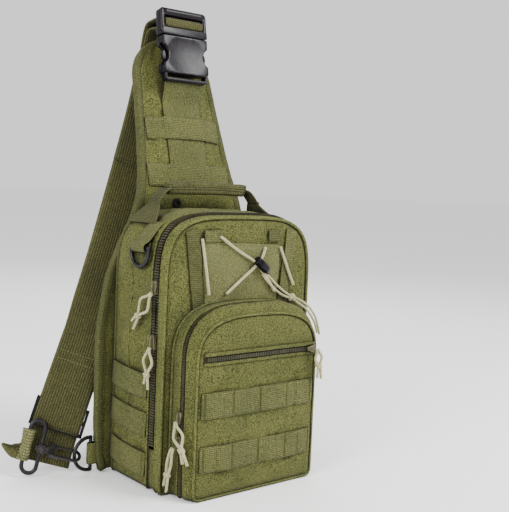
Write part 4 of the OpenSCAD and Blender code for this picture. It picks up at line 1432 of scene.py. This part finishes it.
def add_side_bands():
    """Three load bands on each side, slack at their rear ends, sewn down at their front ends."""
    seams = []
    for side in (-1, 1):
        for i, z in enumerate((14, 54, 92)):
            y = np.linspace(GUSSET_Y + 2.5, PANEL_Y - 1.6, 40)
            t = (y - y[0]) / (y[-1] - y[0])
            lift = 1.3 + 1.9 * np.sin(math.pi * np.clip((t - 0.05) / 0.9, 0, 1)) ** 0.8
            swell = 2.4 * np.sin(math.pi * t) ** 0.7
            x = side * (MAIN_HW - 0.6 + np.minimum(lift + swell * 0.6, 4.2))
            line = np.stack([x, y, z + (BAND_H / 2 + 4.5 * (t - 0.5))], axis=1)
            up = unit(repeated((0, -0.09, 1), len(y)))
            out = unit(np.cross(up, headings(line)))
            out *= np.sign(out[:, 0] * side)[:, None]
            name = f"side_band_{SIDE_NAMES[side]}_{i}"
            band = flat_web(name, line, up, out, BAND_H - 0.6, 1.8, BAND, "bag")
            if side < 0 and i == 0:
                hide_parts("side_bands")
            for at in (0.06, 0.1):
                k = int(at * (len(y) - 1))
                dz = np.linspace(-BAND_H / 2 + 1.5, BAND_H / 2 - 1.5, 12)
                seams.append((line[k] + dz[:, None] * up[0] + out[k], repeated(out[k], len(dz))))
    stitches("side_band_stitches", seams, "bag", TACK, pitch=1.5, length=1.5, width=0.5)


def add_side_seams():
    """The raised seam up the middle of each side, with a row of stitches beside it."""
    skin = Skin(bpy.data.objects["main_side"])
    rows = []
    for side in (-1, 1):
        outline = closed_arch(MAIN_HW, MAIN_STRAIGHT, MAIN_TOP, MAIN_SQUARE)
        half = outline[outline[:, 0] * side >= 0]
        half = half[half[:, 1] > 6]
        half = half[np.argsort(half[:, 1])]
        half = half[half[:, 1] < 268]
        hits = []
        for x, z in half:
            towards = (-x, 0, 0) if z < 215 else (-x * 0.84, 0, 200 - z)
            hits.append(skin.at((x, 14, z), towards))
        place, out = (np.array(values) for values in zip(*hits))
        tube(f"side_seam_{SIDE_NAMES[side]}", even(place, 3), 0.9, PAINTED_HIGHLIGHT_PIPE_CLOTH, "bag", 6)
        rows.append((place + [0, 2.4, 0] + out * 0.15, out))
    stitches("side_seam_stitches", rows, "bag")


# ---------- front pocket ----------

def add_pocket():
    outer = closed_arch(POCKET_HW - 0.4, POCKET_STRAIGHT, POCKET_TOP - 0.4, POCKET_SQUARE)
    count = len(outer)

    def loop(inset, drop, corner=5):
        raw = closed_arch(POCKET_HW - inset, POCKET_STRAIGHT, POCKET_TOP - drop, POCKET_SQUARE, corner,
                          0.6 + inset * 0.1)
        return even_loop(raw, count)

    zip_y = POCKET_ZIP_Y
    loops = [in_plane(loop(1.8, 1.8), zip_y + 3.0), in_plane(loop(0.4, 0.4), zip_y + 4.2),
             in_plane(loop(0.2, 0.2), POCKET_BACK + 0.4)]
    rear = wall("pocket_side", loops, CLOTH, None, 4, 0.8)
    wrinkle(rear, 0.5, 26, 21, lambda p: rise(p[:, 2], 0, 12))
    thicken(rear, 1.6)
    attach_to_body(rear, "bag")
    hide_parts("pocket_gusset")
    for name, y, inset, radius in (("pocket_foot_piping", POCKET_BACK - 1.2, -0.6, 1.5),
                                   ("pocket_rear_piping", zip_y + 4.0, 0.3, 1.0)):
        piping(name, in_plane(loop(inset, inset), y), radius, PAINTED_HIGHLIGHT_PIPE_CLOTH, "bag")

    # The part that opens: a band beside the zip, and the face with its rounded edge
    seam = loop(6.2, 10.5, 6)
    loops = [in_plane(seam, FACE_Y + 1.4), in_plane(loop(3.2, 5.4), (FACE_Y + zip_y - 3) / 2 - 0.6),
             in_plane(loop(0.6, 0.6), zip_y - 4.0), in_plane(loop(1.8, 1.8), zip_y - 3.0)]
    front = wall("pocket_band", loops, CLOTH, None, 4, 0.9)
    wrinkle(front, 0.5, 24, 22, lambda p: rise(p[:, 2], 0, 12))
    thicken(front, 1.4)
    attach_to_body(front, "pocket_flap")
    P, edge = arch_face(POCKET_HW - 6.6, 1.2, POCKET_STRAIGHT - 5, POCKET_TOP - 11, POCKET_SQUARE, FACE_Y, 52,
                        60)
    P[..., 1] += 2.2 * np.exp(-edge / 2.0) + 0.2
    face = grid("pocket_front", P, CLOTH, None, plane=True)
    settle(face, lambda p: fall(abs(p[:, 0]), POCKET_HW - 14, 22) * rise(p[:, 2], 8, 22)
           * fall(p[:, 2], POCKET_TOP - 20, 20) * rise(abs(p[:, 2] - SMALL_ZIP_Z), 8, 14), 1.6, 0.018, 1.6)
    wrinkle(face, 1.0, 44, 9, lambda p: fall(abs(p[:, 0]), POCKET_HW - 9, 18) * rise(p[:, 2], 4, 14)
            * fall(p[:, 2], POCKET_TOP - 14, 16))
    thicken(face, 1.6)
    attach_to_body(face, "pocket_flap")
    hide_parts("pocket_face")
    piping("pocket_seam", in_plane(seam, FACE_Y + 1.2), 1.35, PAINTED_HIGHLIGHT_PIPE_CLOTH, "pocket_flap")
    add_pocket_zip(loop(1.8, 1.8), zip_y)
    add_pocket_bands(face)
    add_small_zip(face)


def add_pocket_zip(outline, zip_y):
    ring = in_plane(outline, zip_y)
    out = loop_out(ring)
    for name, side, body, swap in (("rear", 1, "bag", "pocket_zip_rear"),
                                   ("front", -1, "pocket_flap", "pocket_zip_front")):
        seam = ring + [0, side * 3.3, 0]
        tips = ring + [0, side * 0.55, 0] + out * 0.1
        rows = [seam, (seam + tips) / 2 - out * 0.25, tips]
        if side > 0:
            rows.reverse()
        tape = grid(f"pocket_tape_{name}", np.stack(rows, axis=1), TAPE, None, closed=True)
        thicken(tape, 0.8)
        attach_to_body(tape, body)
        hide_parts(swap)
        towards = repeated((0, -side, 0), len(ring))
        line = np.vstack([tips, tips[:1]]) + np.vstack([out, out[:1]]) * 0.6
        keep = line[:, 2] > 4
        start = int(np.argmax(keep))
        span = slice(start, len(keep) - int(np.argmax(keep[::-1])))
        teeth(f"pocket_teeth_{name}", line[span], np.vstack([towards, towards[:1]])[span],
              np.vstack([out, out[:1]])[span], body, 2.3, (1.5, 1.35, 1.9))


def add_pocket_bands(face):
    skin = Skin(face)
    seams, bands = [], []
    tacks = (-69.5, -35, 0, 35, 69.5)
    for i, z in enumerate((28, 80)):
        x = np.linspace(-73, 73, 121)
        level = z + BAND_H / 2
        base, _ = skin.lay([(a, FACE_Y, level) for a in x], (0, 1, 0))
        lift = np.zeros(len(x))
        for a, b in zip(tacks, tacks[1:]):
            t = np.clip((x - a) / (b - a), 0, 1)
            lift += 0.9 * np.sin(math.pi * t) ** 0.6 * (t > 0) * (t < 1)
        line = base + np.array([0, -1, 0]) * (1.0 + lift)[:, None]
        up = repeated(UP, len(x))
        out = unit(np.cross(up, headings(line)))
        out *= np.sign(-out[:, 1])[:, None]
        bands.append(flat_web(f"pocket_band_{i}", line, up, out, BAND_H, BAND_T, BAND, "pocket_flap", 12))
        for tack in tacks:
            for offset in (-0.6, 0.6):
                k = (tack + offset - x[0]) / (x[1] - x[0])
                at = sample(line, np.arange(len(x)), k)
                dz = np.linspace(-BAND_H / 2 + 1.2, BAND_H / 2 - 1.2, 14)
                seams.append((at + dz[:, None] * [0, 0, 1.0] + [0, -0.95, 0], repeated(FORWARD, len(dz))))
    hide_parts("pocket_bands")
    stitches("pocket_band_tacks", seams, "pocket_flap", TACK, pitch=1.15, length=1.9, width=0.5)


def add_small_zip(face):
    """The zip across the top of the pocket, between two cloth lips, with a tab sewn over its right end."""
    skin = Skin(face)
    x = np.linspace(-71.5, 72, 90)
    for name, z, wide, thick, lift, material, slot in (
            ("tape", SMALL_ZIP_Z, 9.5, 0.8, 0.45, TAPE, "zip_tape"),
            ("lip_upper", 141.8, 3.4, 1.9, 1.5, CLOTH, "olive_fabric"),
            ("lip_lower", 132.4, 3.0, 1.5, 1.25, CLOTH, "olive_fabric")):
        base, _ = skin.lay([(a, FACE_Y, z) for a in x], (0, 1, 0))
        line = base + np.array([0, -1, 0]) * lift
        up, out = repeated(UP, len(x)), repeated(FORWARD, len(x))
        flat_web(f"small_zip_{name}", line, up, out, wide, thick, material, "pocket_flap", 6)
        if name == "tape":
            chain = line[2:-2] + [0, -0.5, 0]
            for side in (-1, 1):
                teeth(f"small_teeth_{side + 1}", chain + [0, 0, side * 0.7],
                      repeated((0, 0, -side), len(chain)),
                      repeated(FORWARD, len(chain)), "pocket_flap", 2.3, (1.1, 1.3, 1.4))
    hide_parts("small_zip")
    rows = []
    for z in (146.4, 149.6, 128.6):
        rows.append(skin.lay([(a, FACE_Y, z) for a in x], (0, 1, 0), 0.2))
    stitches("small_zip_stitches", rows, "pocket_flap", pitch=2.6, length=1.8)
    base, _ = skin.lay([(73, FACE_Y, z) for z in np.linspace(131, 143.4, 14)], (0, 1, 0))
    flat_web("small_zip_end_2", base + [0, -1.6, 0], repeated((1, 0, 0), len(base)),
             repeated(FORWARD, len(base)), 4.4,
             BAND_T, BAND, "pocket_flap", 5)


# ---------- loop patch, lacing strips and cord lock ----------

def patch(name, corners, nu, nv, skin, lift, thick, material, body):
    """A flat piece between four corners (X and Z, from the lower left, anticlockwise), laid on a surface."""
    a, b, c, d = (np.array(p, float) for p in corners)
    u = np.linspace(0, 1, nu)[:, None, None]
    v = np.linspace(0, 1, nv)[None, :, None]
    flat = (a * (1 - u) + b * u) * (1 - v) + (d * (1 - u) + c * u) * v
    P = np.zeros((nu, nv, 3))
    for i in range(nu):
        for j in range(nv):
            hit, _ = skin.at((flat[i, j, 0], FRONT_Y, flat[i, j, 1]), (0, 1, 0))
            P[i, j] = hit + np.array([0, -lift, 0])
    obj = grid(name, P, material, None, plane=True)
    thicken(obj, thick)
    bevel(obj, thick * 0.35, 2, 60)
    if body:
        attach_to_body(obj, body)
    return obj


def add_lacing():
    skin = Skin(bpy.data.objects["front_panel"])
    pile = patch("loop_panel", ((-48, FOLD_Z - 6), (48, FOLD_Z - 6), (49, 242), (-55, 246)), 44, 26, skin,
                 1.5, 1.5, PILE,
                 None)
    wrinkle(pile, 0.25, 5, 31)
    fold(pile)
    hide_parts("loop_patch")
    strips = []
    for side in (-1, 1):
        corners = [(side * 48, FOLD_Z - 13), (side * 62, FOLD_Z - 13), (side * 74, 256), (side * 59, 259)]
        if side < 0:
            corners = [corners[1], corners[0], corners[3], corners[2]]
        # The left strip takes the darker binding tape as painted shade; the right one is band webbing
        cloth = BINDING if side < 0 else BAND
        strips.append(patch(f"lacing_strip_{side + 1}", corners, 10, 40, skin, 2.2, 1.7, cloth, None))
        fold(strips[-1])
    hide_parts("lacing_straps")
    for i, (x, wide) in enumerate(((-52, 22), (33, 15))):
        z = 251
        corners = ((x, z - 5.5), (x + wide, z - 5.5), (x + wide, z + 6), (x, z + 6))
        patch(f"lacing_tab_{i}", corners, 12, 8, skin, 3.4, 1.7, BAND if i == 0 else BINDING, "front_flap")
    # A dark strip laid on the panel from the cord lock down to the right
    dark_strip = ((37, 197), (43.5, 199.5), (29, 222), (24, 219))
    patch("lock_dark_strip", dark_strip, 6, 16, skin, 3.4, 1.6, BINDING, "front_flap")
    x = np.linspace(-52.4, 46.8, 60)
    first, last = 243.6, 239.8
    points = [(a, FRONT_Y, first + (last - first) * k / (len(x) - 1)) for k, a in enumerate(x)]
    stitches("loop_panel_stitches", [skin.lay(points, (0, 1, 0), 1.8)], "front_flap")
    add_cord_lock()


def add_cord_lock():
    lock = turned((20, FRONT_Y - 7, 222), 0, 128)
    profile = [(1.2, -9.2), (3.9, -9.0), (4.5, -8.4)]
    for z in (-7.6, -6.2, -4.8, -3.4, -2.0):
        profile += [(4.6, z - 0.45), (4.6, z + 0.25), (4.05, z + 0.4), (4.05, z + 0.8)]
    profile += [(4.6, -0.6), (4.7, 3.0), (4.6, 7.6), (4.2, 8.6), (3.6, 9.0), (3.3, 8.6), (3.3, 2.2),
                (1.0, 2.2)]
    barrel = lathe("lock_barrel", profile, lock, BLACK, None)
    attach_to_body(barrel, "front_flap")
    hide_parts("cord_lock")
    button = lathe("lock_plunger",
                   [(1.0, 7.0), (3.0, 7.1), (3.05, 11.4), (2.8, 12.5), (2.0, 12.95), (0.6, 13.0)], lock,
                   GREEN_PLASTIC, "lock_button")
    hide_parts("lock_button")


# ---------- handle ----------

HANDLE_Y = 20
FLARE_CELLS = 18

# A flare from its foot up to the handle: across, height and width
FLARE_ROUTE = [(81, 261.0, 45), (79, 265.5, 43), (74.5, 271.5, 36), (70, 276.8, 26), (67.4, 281.0, 19),
               (67.6, 284.6, 17)]


def add_handle():
    """A webbing handle with a cloth sleeve, and the sewn flares that hold its ends."""
    x = np.concatenate([np.linspace(-67, -55, 10), np.linspace(-52, 52, 44), np.linspace(55, 67, 10)])
    drop = np.clip((np.abs(x) - 52) / 15, 0, 1)
    z = 296.4 + 1.0 * np.cos(x / 52 * math.pi / 2) * (drop == 0) - 13.6 * drop ** 1.5
    line = np.stack([x, np.full(len(x), float(HANDLE_Y)), z], axis=1)
    ahead = headings(line)
    side = repeated(BACKWARD, len(x))
    up = np.cross(ahead, side)
    circle = round_section(1, 20)
    section = np.sign(circle) * np.abs(circle) ** 0.7
    grip = drop == 0
    # The sleeve's webbing colour holds painted shade
    sleeve = swept_varying("handle_sleeve", line[grip], side[grip], up[grip], section,
                           4.2 - 0.35 * np.cos(x[grip] * 0.9), np.full(grip.sum(), 6.6), DARKER_WEBBING_PLUS_PAINTED_SHADE)
    wrinkle(sleeve, 0.5, 10, 17)
    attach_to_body(sleeve, "handle")
    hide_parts("handle")
    for name, keep in (("left", x < -50), ("right", x > 50)):
        strap = flat_web(f"handle_end_{name}", line[keep], side[keep], up[keep], 17, 2.2, DARKER_WEBBING_PLUS_PAINTED_SHADE, "handle")
    run = line[grip][2:-2]
    rows = [(run + [0, -4.25, level], repeated(FORWARD, len(run))) for level in (3.9, -3.9)]
    stitches("handle_stitches", rows, "handle")
    for sign in (-1, 1):
        rows = []
        for across, height, width in FLARE_ROUTE:
            y = np.linspace(-width / 2, width / 2, FLARE_CELLS)
            level = np.full(FLARE_CELLS, height) + 0.6 * np.cos(y / width * 3.1)
            rows.append(np.stack([np.full(FLARE_CELLS, sign * across), HANDLE_Y + y, level], axis=1))
        P = np.array(rows)
        fine = np.stack([curve(P[:, k], 5) for k in range(FLARE_CELLS)], axis=1)
        flare = grid(f"handle_flare_{sign + 1}", fine, DARKER_WEBBING_PLUS_PAINTED_SHADE, None, flip=sign > 0)
        thicken(flare, 1.9, 0)
        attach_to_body(flare, "bag")
        if sign < 0:
            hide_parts("handle_anchors")


def swept_varying(name, line, across, out, section, wide, tall, material):
    """A closed section along a line, scaled at each point."""
    n, k = len(line), len(section)
    rings = (line[:, None] + section[None, :, :1] * across[:, None] * wide[:, None, None]
             + section[None, :, 1:] * out[:, None] * tall[:, None, None])
    along = spans(line)
    around = spans(np.vstack([section, section[:1]])) * np.mean(tall)
    faces, uv = [], []
    for i in range(n - 1):
        for j in range(k):
            q = (j + 1) % k
            faces.append([i * k + j, i * k + q, (i + 1) * k + q, (i + 1) * k + j])
            uv += [(around[j], along[i]), (around[j + 1], along[i]), (around[j + 1], along[i + 1]),
                   (around[j], along[i + 1])]
    faces += [list(reversed(range(k))), [(n - 1) * k + j for j in range(k)]]
    uv += [(around[j], along[0]) for j in reversed(range(k))] + [(around[j], along[-1]) for j in range(k)]
    return make(name, rings.reshape(-1, 3), faces, uv, material, None)


# ---------- shoulder buckle ----------

BUCKLE_FRAME = turned((0, 66, 417), 0, 0, -9)


def mirrored(points):
    return [(-x, z) for x, z in reversed(points)]


def arc(cx, cz, r, a0, a1, steps=10):
    turn = np.radians(np.linspace(a0, a1, steps + 1))
    return [(cx + r * math.cos(a), cz + r * math.sin(a)) for a in turn]


def scoop(obj, matrix, centre, half_x, half_z, depth):
    """Presses a smooth oval dish into the front of a piece."""
    cells = 28
    t = np.linspace(-1.15, 1.15, cells + 1)
    dish = [(centre[0] + half_x * a, centre[1] + depth * (1 - a * a - b * b), centre[2] + half_z * b)
            for a in t for b in t]
    front = [(x, centre[1] - 12, z) for x, _, z in dish]
    row = cells + 1
    faces = []
    for i in range(cells):
        for j in range(cells):
            a = i * row + j
            faces += [[a, a + 1, a + row + 1, a + row],
                      [row * row + k for k in (a, a + row, a + row + 1, a + 1)]]
    rim = [i * row for i in range(cells)] + [cells * row + j for j in range(cells)]
    rim += [i * row + cells for i in range(cells, 0, -1)] + list(range(cells, 0, -1))
    for a, b in zip(rim, rim[1:] + rim[:1]):
        faces.append([a, b, b + row * row, a + row * row])
    cutter = make("scoop", placed(matrix, dish + front), faces, [(0, 0)] * (4 * len(faces)), BLACK, None)
    bm = bmesh.new()
    bm.from_mesh(cutter.data)
    bmesh.ops.recalc_face_normals(bm, faces=bm.faces)
    bm.to_mesh(cutter.data)
    bm.free()
    carve(obj, cutter)


def buckle_part(name, outline, low, high, edge, segments=2, holes=()):
    return prism(name, outline, low, high, BUCKLE_FRAME, BLACK, None, edge, segments, holes)


def buckle_bar(name, half, y, z, radius, sides):
    line = [(x, y, z) for x in np.linspace(-half, half, 12)]
    return tube(name, placed(BUCKLE_FRAME, line), radius, BLACK, None, sides)


def add_buckle():
    right = [(26.5, 2.2), (29.2, 3.4), (30, 6), (30, 11.6), *arc(34.5, 23, 10.8, 247, 113, 14), (30, 34.4),
             (30.4, 42),
             (29.6, 43.8)]
    shell = right + mirrored(right)
    top = buckle_part("shell_front", shell, -7, -3.3, 1.5, 4)
    scoop(top, BUCKLE_FRAME, (0, -7, 23), 26.5, 22.5, 1.9)
    lower = [top, buckle_part("shell_back", shell, 2.3, 6, 1.2, 3)]
    for side in (-1, 1):
        for z0, z1 in ((2.6, 11.2), (35.4, 43.4)):
            block = round_rect(2.6, z1 - z0, 0.8, side * 28.2, (z0 + z1) / 2)
            lower.append(buckle_part(f"shell_wall_{side + 1}_{int(z0)}", block, -3.6, 2.6, 0.3))
    lower.append(buckle_part("shell_floor", round_rect(54, 5, 1.2, 0, 5.2), -3.6, 2.6, 0.3))
    lower.append(buckle_part("shell_lip", round_rect(57, 11, 3.2, 0, -0.2), -5.2, 3.4, 1.1, 3,
                             [round_rect(51.5, 3.9, 1.4, 0, 0.0)]))
    female = join("buckle_lower_half", lower, "bag")
    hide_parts("buckle_female")

    window = round_rect(51.5, 12.6, 2.2, 0, 59.2)
    plug_shape = [(-16, 10.4), (16, 10.4), (17.6, 14), (17.6, 45), (-17.6, 45), (-17.6, 14)]
    upper = [buckle_part("rails", round_rect(62.5, 29.6, 5, 0, 58.9), -6.4, 4.4, 2.2, 4, [window]),
             buckle_bar("brow", 27.5, -2.6, 69.6, 4.6, 20),
             buckle_part("head", round_rect(61, 8.2, 2.0, 0, 48.4), -7.1, 6.2, 1.0, 3),
             buckle_bar("bar", 27, -0.5, 60, 1.75, 12),
             buckle_part("plug", plug_shape, -2.4, 1.4, 0.5, 2, [round_rect(27, 21, 3, 0, 27)])]
    male = join("buckle_upper_half", upper, "buckle_male")
    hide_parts("buckle_male")
    arm = [(21.2, 43), (21.2, 17), (23, 15.6), (26.6, 16.6), (29.0, 19.4), (29.5, 23), (28.6, 27.2),
           (25.4, 28.4),
           (24.2, 30.2), (24.1, 43)]
    for side, name in ((-1, "prong_left"), (1, "prong_right")):
        latch = buckle_part(name + "_arm", [(side * x, z) for x, z in arm], -2.5, 1.3, 0.7, 3)
        root_frame = BUCKLE_FRAME @ turned((side * 21, 0, 43), 0, 0, -90)
        root = lathe(name + "_root", [(2.2, -2.6), (2.75, -2.2), (2.75, 1.0), (2.2, 1.35)], root_frame, BLACK,
                     None,
                     20)
        piece = join(name + "_latch", [latch, root], name)
        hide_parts(name)


# ---------- shoulder strap ----------

STRAP_FRONT = [(-1, 108.5, 452, 0), (-10, 103.5, 425, -4), (-22, 98, 387, -8), (-44, 91, 320, -12),
               (-75, 82.5, 230, -14),
               (-98, 76.5, 172, -18), (-105.5, 74.8, 153, -20)]
STRAP_SEWN_END = [(-113, 73.3, 132, -22), (-122.8, 71.9, 108, -23), (-134.6, 70.2, 79, -24),
                  (-147, 69, 47, -25)]
STRAP_REAR = [(-1, 111.8, 452, 0), (-10, 106.8, 425, -4), (-21.5, 101.3, 387, -8), (-43.3, 94.2, 320, -12),
              (-74, 85.8, 230, -14), (-96.5, 80.5, 172, -18), (-106, 80.5, 141, -21),
              (-110.5, 79.8, 130, -22),
              (-127.2, 77.6, 88, -24), (-142, 76, 50, -24), (-151, 74.5, 27, -26), (-156.5, 73.5, 10, -27)]
TOP_LOOP = [(0, 108, 474, 0), (0, 94, 480.2, 0), (0, 79, 480.4, 0), (0, 70.8, 478.6, 0), (0, 69.0, 474.6, 0),
            (0, 70.8, 470.8, 0), (0, 79, 469.6, 0), (0, 94, 471.4, 0), (0, 105.5, 467, 0)]
SPLIT = 320                           # height at which the strap passes from one piece to the next


def strap_piece(name, rows, thick, offset=0.0):
    """Strap webbing through rows of X, Y, Z and turn."""
    line, yaw = rows[:, :3], rows[:, 3]
    across, out = ribbon_axes(line, yaw)
    for k in range(1, len(across)):
        if across[k] @ across[k - 1] < 0:
            across[k] *= -1
            out[k] *= -1
    edge = 0.35 * np.sin(spans(line) / 31 + offset)
    # The strap's webbing colour holds painted shade
    return flat_web(name, line + across * edge[:, None], across, out, STRAP_W, thick, DARKER_WEBBING_PLUS_PAINTED_SHADE, None, 16)


def add_strap():
    front, rear = curve(STRAP_FRONT + STRAP_SEWN_END, 8), curve(STRAP_REAR, 8)
    upper = np.vstack([rear[rear[:, 2] >= SPLIT - 1e-6][::-1][:-4],
                       curve([rear[4], *TOP_LOOP, front[4]], 8)[1:-1],
                       front[front[:, 2] >= SPLIT - 1e-6][4:]])
    top = strap_piece("strap_upper", upper, STRAP_T)
    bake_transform(top)
    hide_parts("strap_top_loop")
    lower = strap_piece("strap_front_layer", front[front[:, 2] <= SPLIT + 1e-6], STRAP_T, 1.0)
    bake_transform(lower)
    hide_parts("strap_front", "adjuster_strap_end")
    back = strap_piece("strap_rear_layer", rear[rear[:, 2] <= SPLIT + 1e-6], 2.0, 2.0)
    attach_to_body(back, "bag")
    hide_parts("strap_rear")
    ends = curve(STRAP_SEWN_END, 10)
    across, out = ribbon_axes(ends[:, :3], ends[:, 3])
    rows = []
    for k in (6, 9):
        x = np.linspace(-STRAP_W / 2 + 3, STRAP_W / 2 - 3, 24)
        rows.append((ends[k, :3] + across[k] * x[:, None] + out[k] * (STRAP_T / 2 + 0.1),
                     repeated(out[k], len(x))))
    stitches("strap_stitches", rows, "adjuster")
    a, o = across[-1], out[-1]
    down = unit(ends[-1, :3] - ends[-3, :3])
    turn = np.radians(np.linspace(-90, 90, 9))
    bend = np.array([ends[-1, :3] - o * 1.3 + o * 1.3 * math.sin(-t) + down * 1.3 * math.cos(t)
                     for t in turn])
    sides = repeated(a, len(bend))
    flat_web("strap_fold", bend, sides, unit(np.cross(headings(bend), sides)), STRAP_W - 1, 1.6, DARKER_WEBBING_PLUS_PAINTED_SHADE,
             "adjuster", 12)


# ---------- rings, tabs and hook ----------

HOOK_FRAME = turned((-135.5, 50, 21), 150, -13)


# Each tab's route on the right: (X, Y) at a height, and (X, Z) at a depth
LOWER_TAB = [(103, 51.9), (110, 52.9), (115, 53.3), (118.6, 52.4), (120.2, 50), (118.6, 47.6), (115, 46.7),
             (110, 47.1),
             (103, 48.1)]
UPPER_TAB = [(78.5, 262.6), (84.5, 257.5), (90.5, 250.5), (96, 244.5), (101.2, 241.6), (102.6, 238),
             (100.6, 234.8),
             (97, 234.8), (95.0, 238), (93.6, 243)]
LOWER_TAB_Z, UPPER_TAB_Y = 21, -3


def add_tabs():
    """Webbing folded round the straight bar of each D-ring."""
    for side in (-1, 1):
        for name, route, up in (("lower", [(side * x, y, LOWER_TAB_Z) for x, y in LOWER_TAB], UP),
                                ("upper", [(side * x, UPPER_TAB_Y, z) for x, z in UPPER_TAB], BACKWARD)):
            line = curve(route, 4)
            across = repeated(up, len(line))
            flat_web(f"{name}_tab_{side + 1}", line, across, np.cross(headings(line), across),
                                   22, 1.5,
                                   BAND, "bag", 8)
    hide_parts("ring_tabs")


def add_strap_wrap():
    """Webbing gathered round the long bar of the hook's eye, with its cut tail."""
    m = HOOK_FRAME @ Matrix.Rotation(math.radians(8), 4, "X") @ Matrix.Translation((50, 0, 0))
    rows = []
    for z in np.linspace(-14.6, 16.6, 72):
        waist = 1 - 0.10 * math.cos(z / 10) + 0.07 * math.sin(z * 2 * math.pi / 2.9)
        ring = []
        for a in np.linspace(0, 2 * math.pi, 36, endpoint=False):
            c, d = math.cos(a), math.sin(a)
            ring.append((0.6 + 6.3 * waist * math.copysign(abs(c) ** 0.75, c),
                         4.6 * waist * math.copysign(abs(d) ** 0.75, d),
                         z + 0.7 * math.sin(2 * a + 0.6)))
        rows.append(ring)
    P = np.array(rows)
    flat = placed(m, P.reshape(-1, 3))
    n, k = P.shape[:2]
    faces, uv = [], []
    for i in range(n - 1):
        for j in range(k):
            q = (j + 1) % k
            faces.append([i * k + j, i * k + q, (i + 1) * k + q, (i + 1) * k + j])
            uv += [(0.44 * p, 0.9 * q) for p, q in ((i, j), (i, j + 1), (i + 1, j + 1), (i + 1, j))]
    faces += [list(reversed(range(k))), [(n - 1) * k + j for j in range(k)]]
    uv += [(P.reshape(-1, 3)[v][0], P.reshape(-1, 3)[v][1]) for f in faces[-2:] for v in f]
    bunch = make("bunched_webbing", flat, faces, uv, WRAP, "bag")
    wrinkle(bunch, 0.5, 8, 41)
    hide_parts("strap_wrap")
    line = placed(m, curve([(3, 0.5, -7), (8, 1.2, -7.5), (15, 2.6, -7), (24, 4.6, -3)], 6))
    up = np.array([(m.to_3x3() @ Vector((0, 0, 1)))] * len(line))
    ahead = headings(line)
    up = unit(up - ahead * np.sum(up * ahead, axis=1, keepdims=True))
    out = np.cross(ahead, up)
    width = np.interp(np.arange(len(line)), [0, len(line) / 2, len(line) - 1], [18, 14, 2])
    unit_tape = tape_section(1, 1, 8, 0.1)
    swept = swept_varying("webbing_tail", line, up, out, unit_tape, width, np.full(len(line), 2.2), DARKER_WEBBING_PLUS_PAINTED_SHADE)
    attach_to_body(swept, "bag")


def finish_cad():
    """Better materials for the CAD pieces whose shape is right."""
    metal = ("ring_upper_left", "ring_upper_right", "ring_lower_left", "ring_lower_right", "snap_hook",
             "hook_gate",
             "hook_eye")
    materials = dict.fromkeys(metal, METAL)
    materials.update(adjuster=BLACK, cable_eyelet=BLACK, inner_pocket=LINING, foam_inserts=FOAM)
    for name, material in materials.items():
        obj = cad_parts[name]
        obj.data.materials.clear()
        obj.data.materials.append(material)
        if "UVMap" not in obj.data.uv_layers:
            box_uv(obj)
        smooth_by_angle(obj, 40)


def box_uv(obj):
    """UVs from the larger face direction, in metres."""
    mesh = obj.data
    layer = mesh.uv_layers.new(name="UVMap")
    for poly in mesh.polygons:
        axis = max(range(3), key=lambda k: abs(poly.normal[k]))
        keep = [k for k in range(3) if k != axis]
        for loop in poly.loop_indices:
            co = mesh.vertices[mesh.loops[loop].vertex_index].co
            layer.data[loop].uv = (co[keep[0]], co[keep[1]])


# ---------- everything ----------

add_camera()
add_bungee()
add_pulls()
add_stage()
padded_back = add_back()
add_binding()
add_pad_webbing(padded_back)
add_back_mesh()
add_main()
add_side_bands()
add_side_seams()
add_pocket()
add_lacing()
add_sliders()
add_handle()
add_buckle()
add_strap()
add_tabs()
add_strap_wrap()
finish_cad()
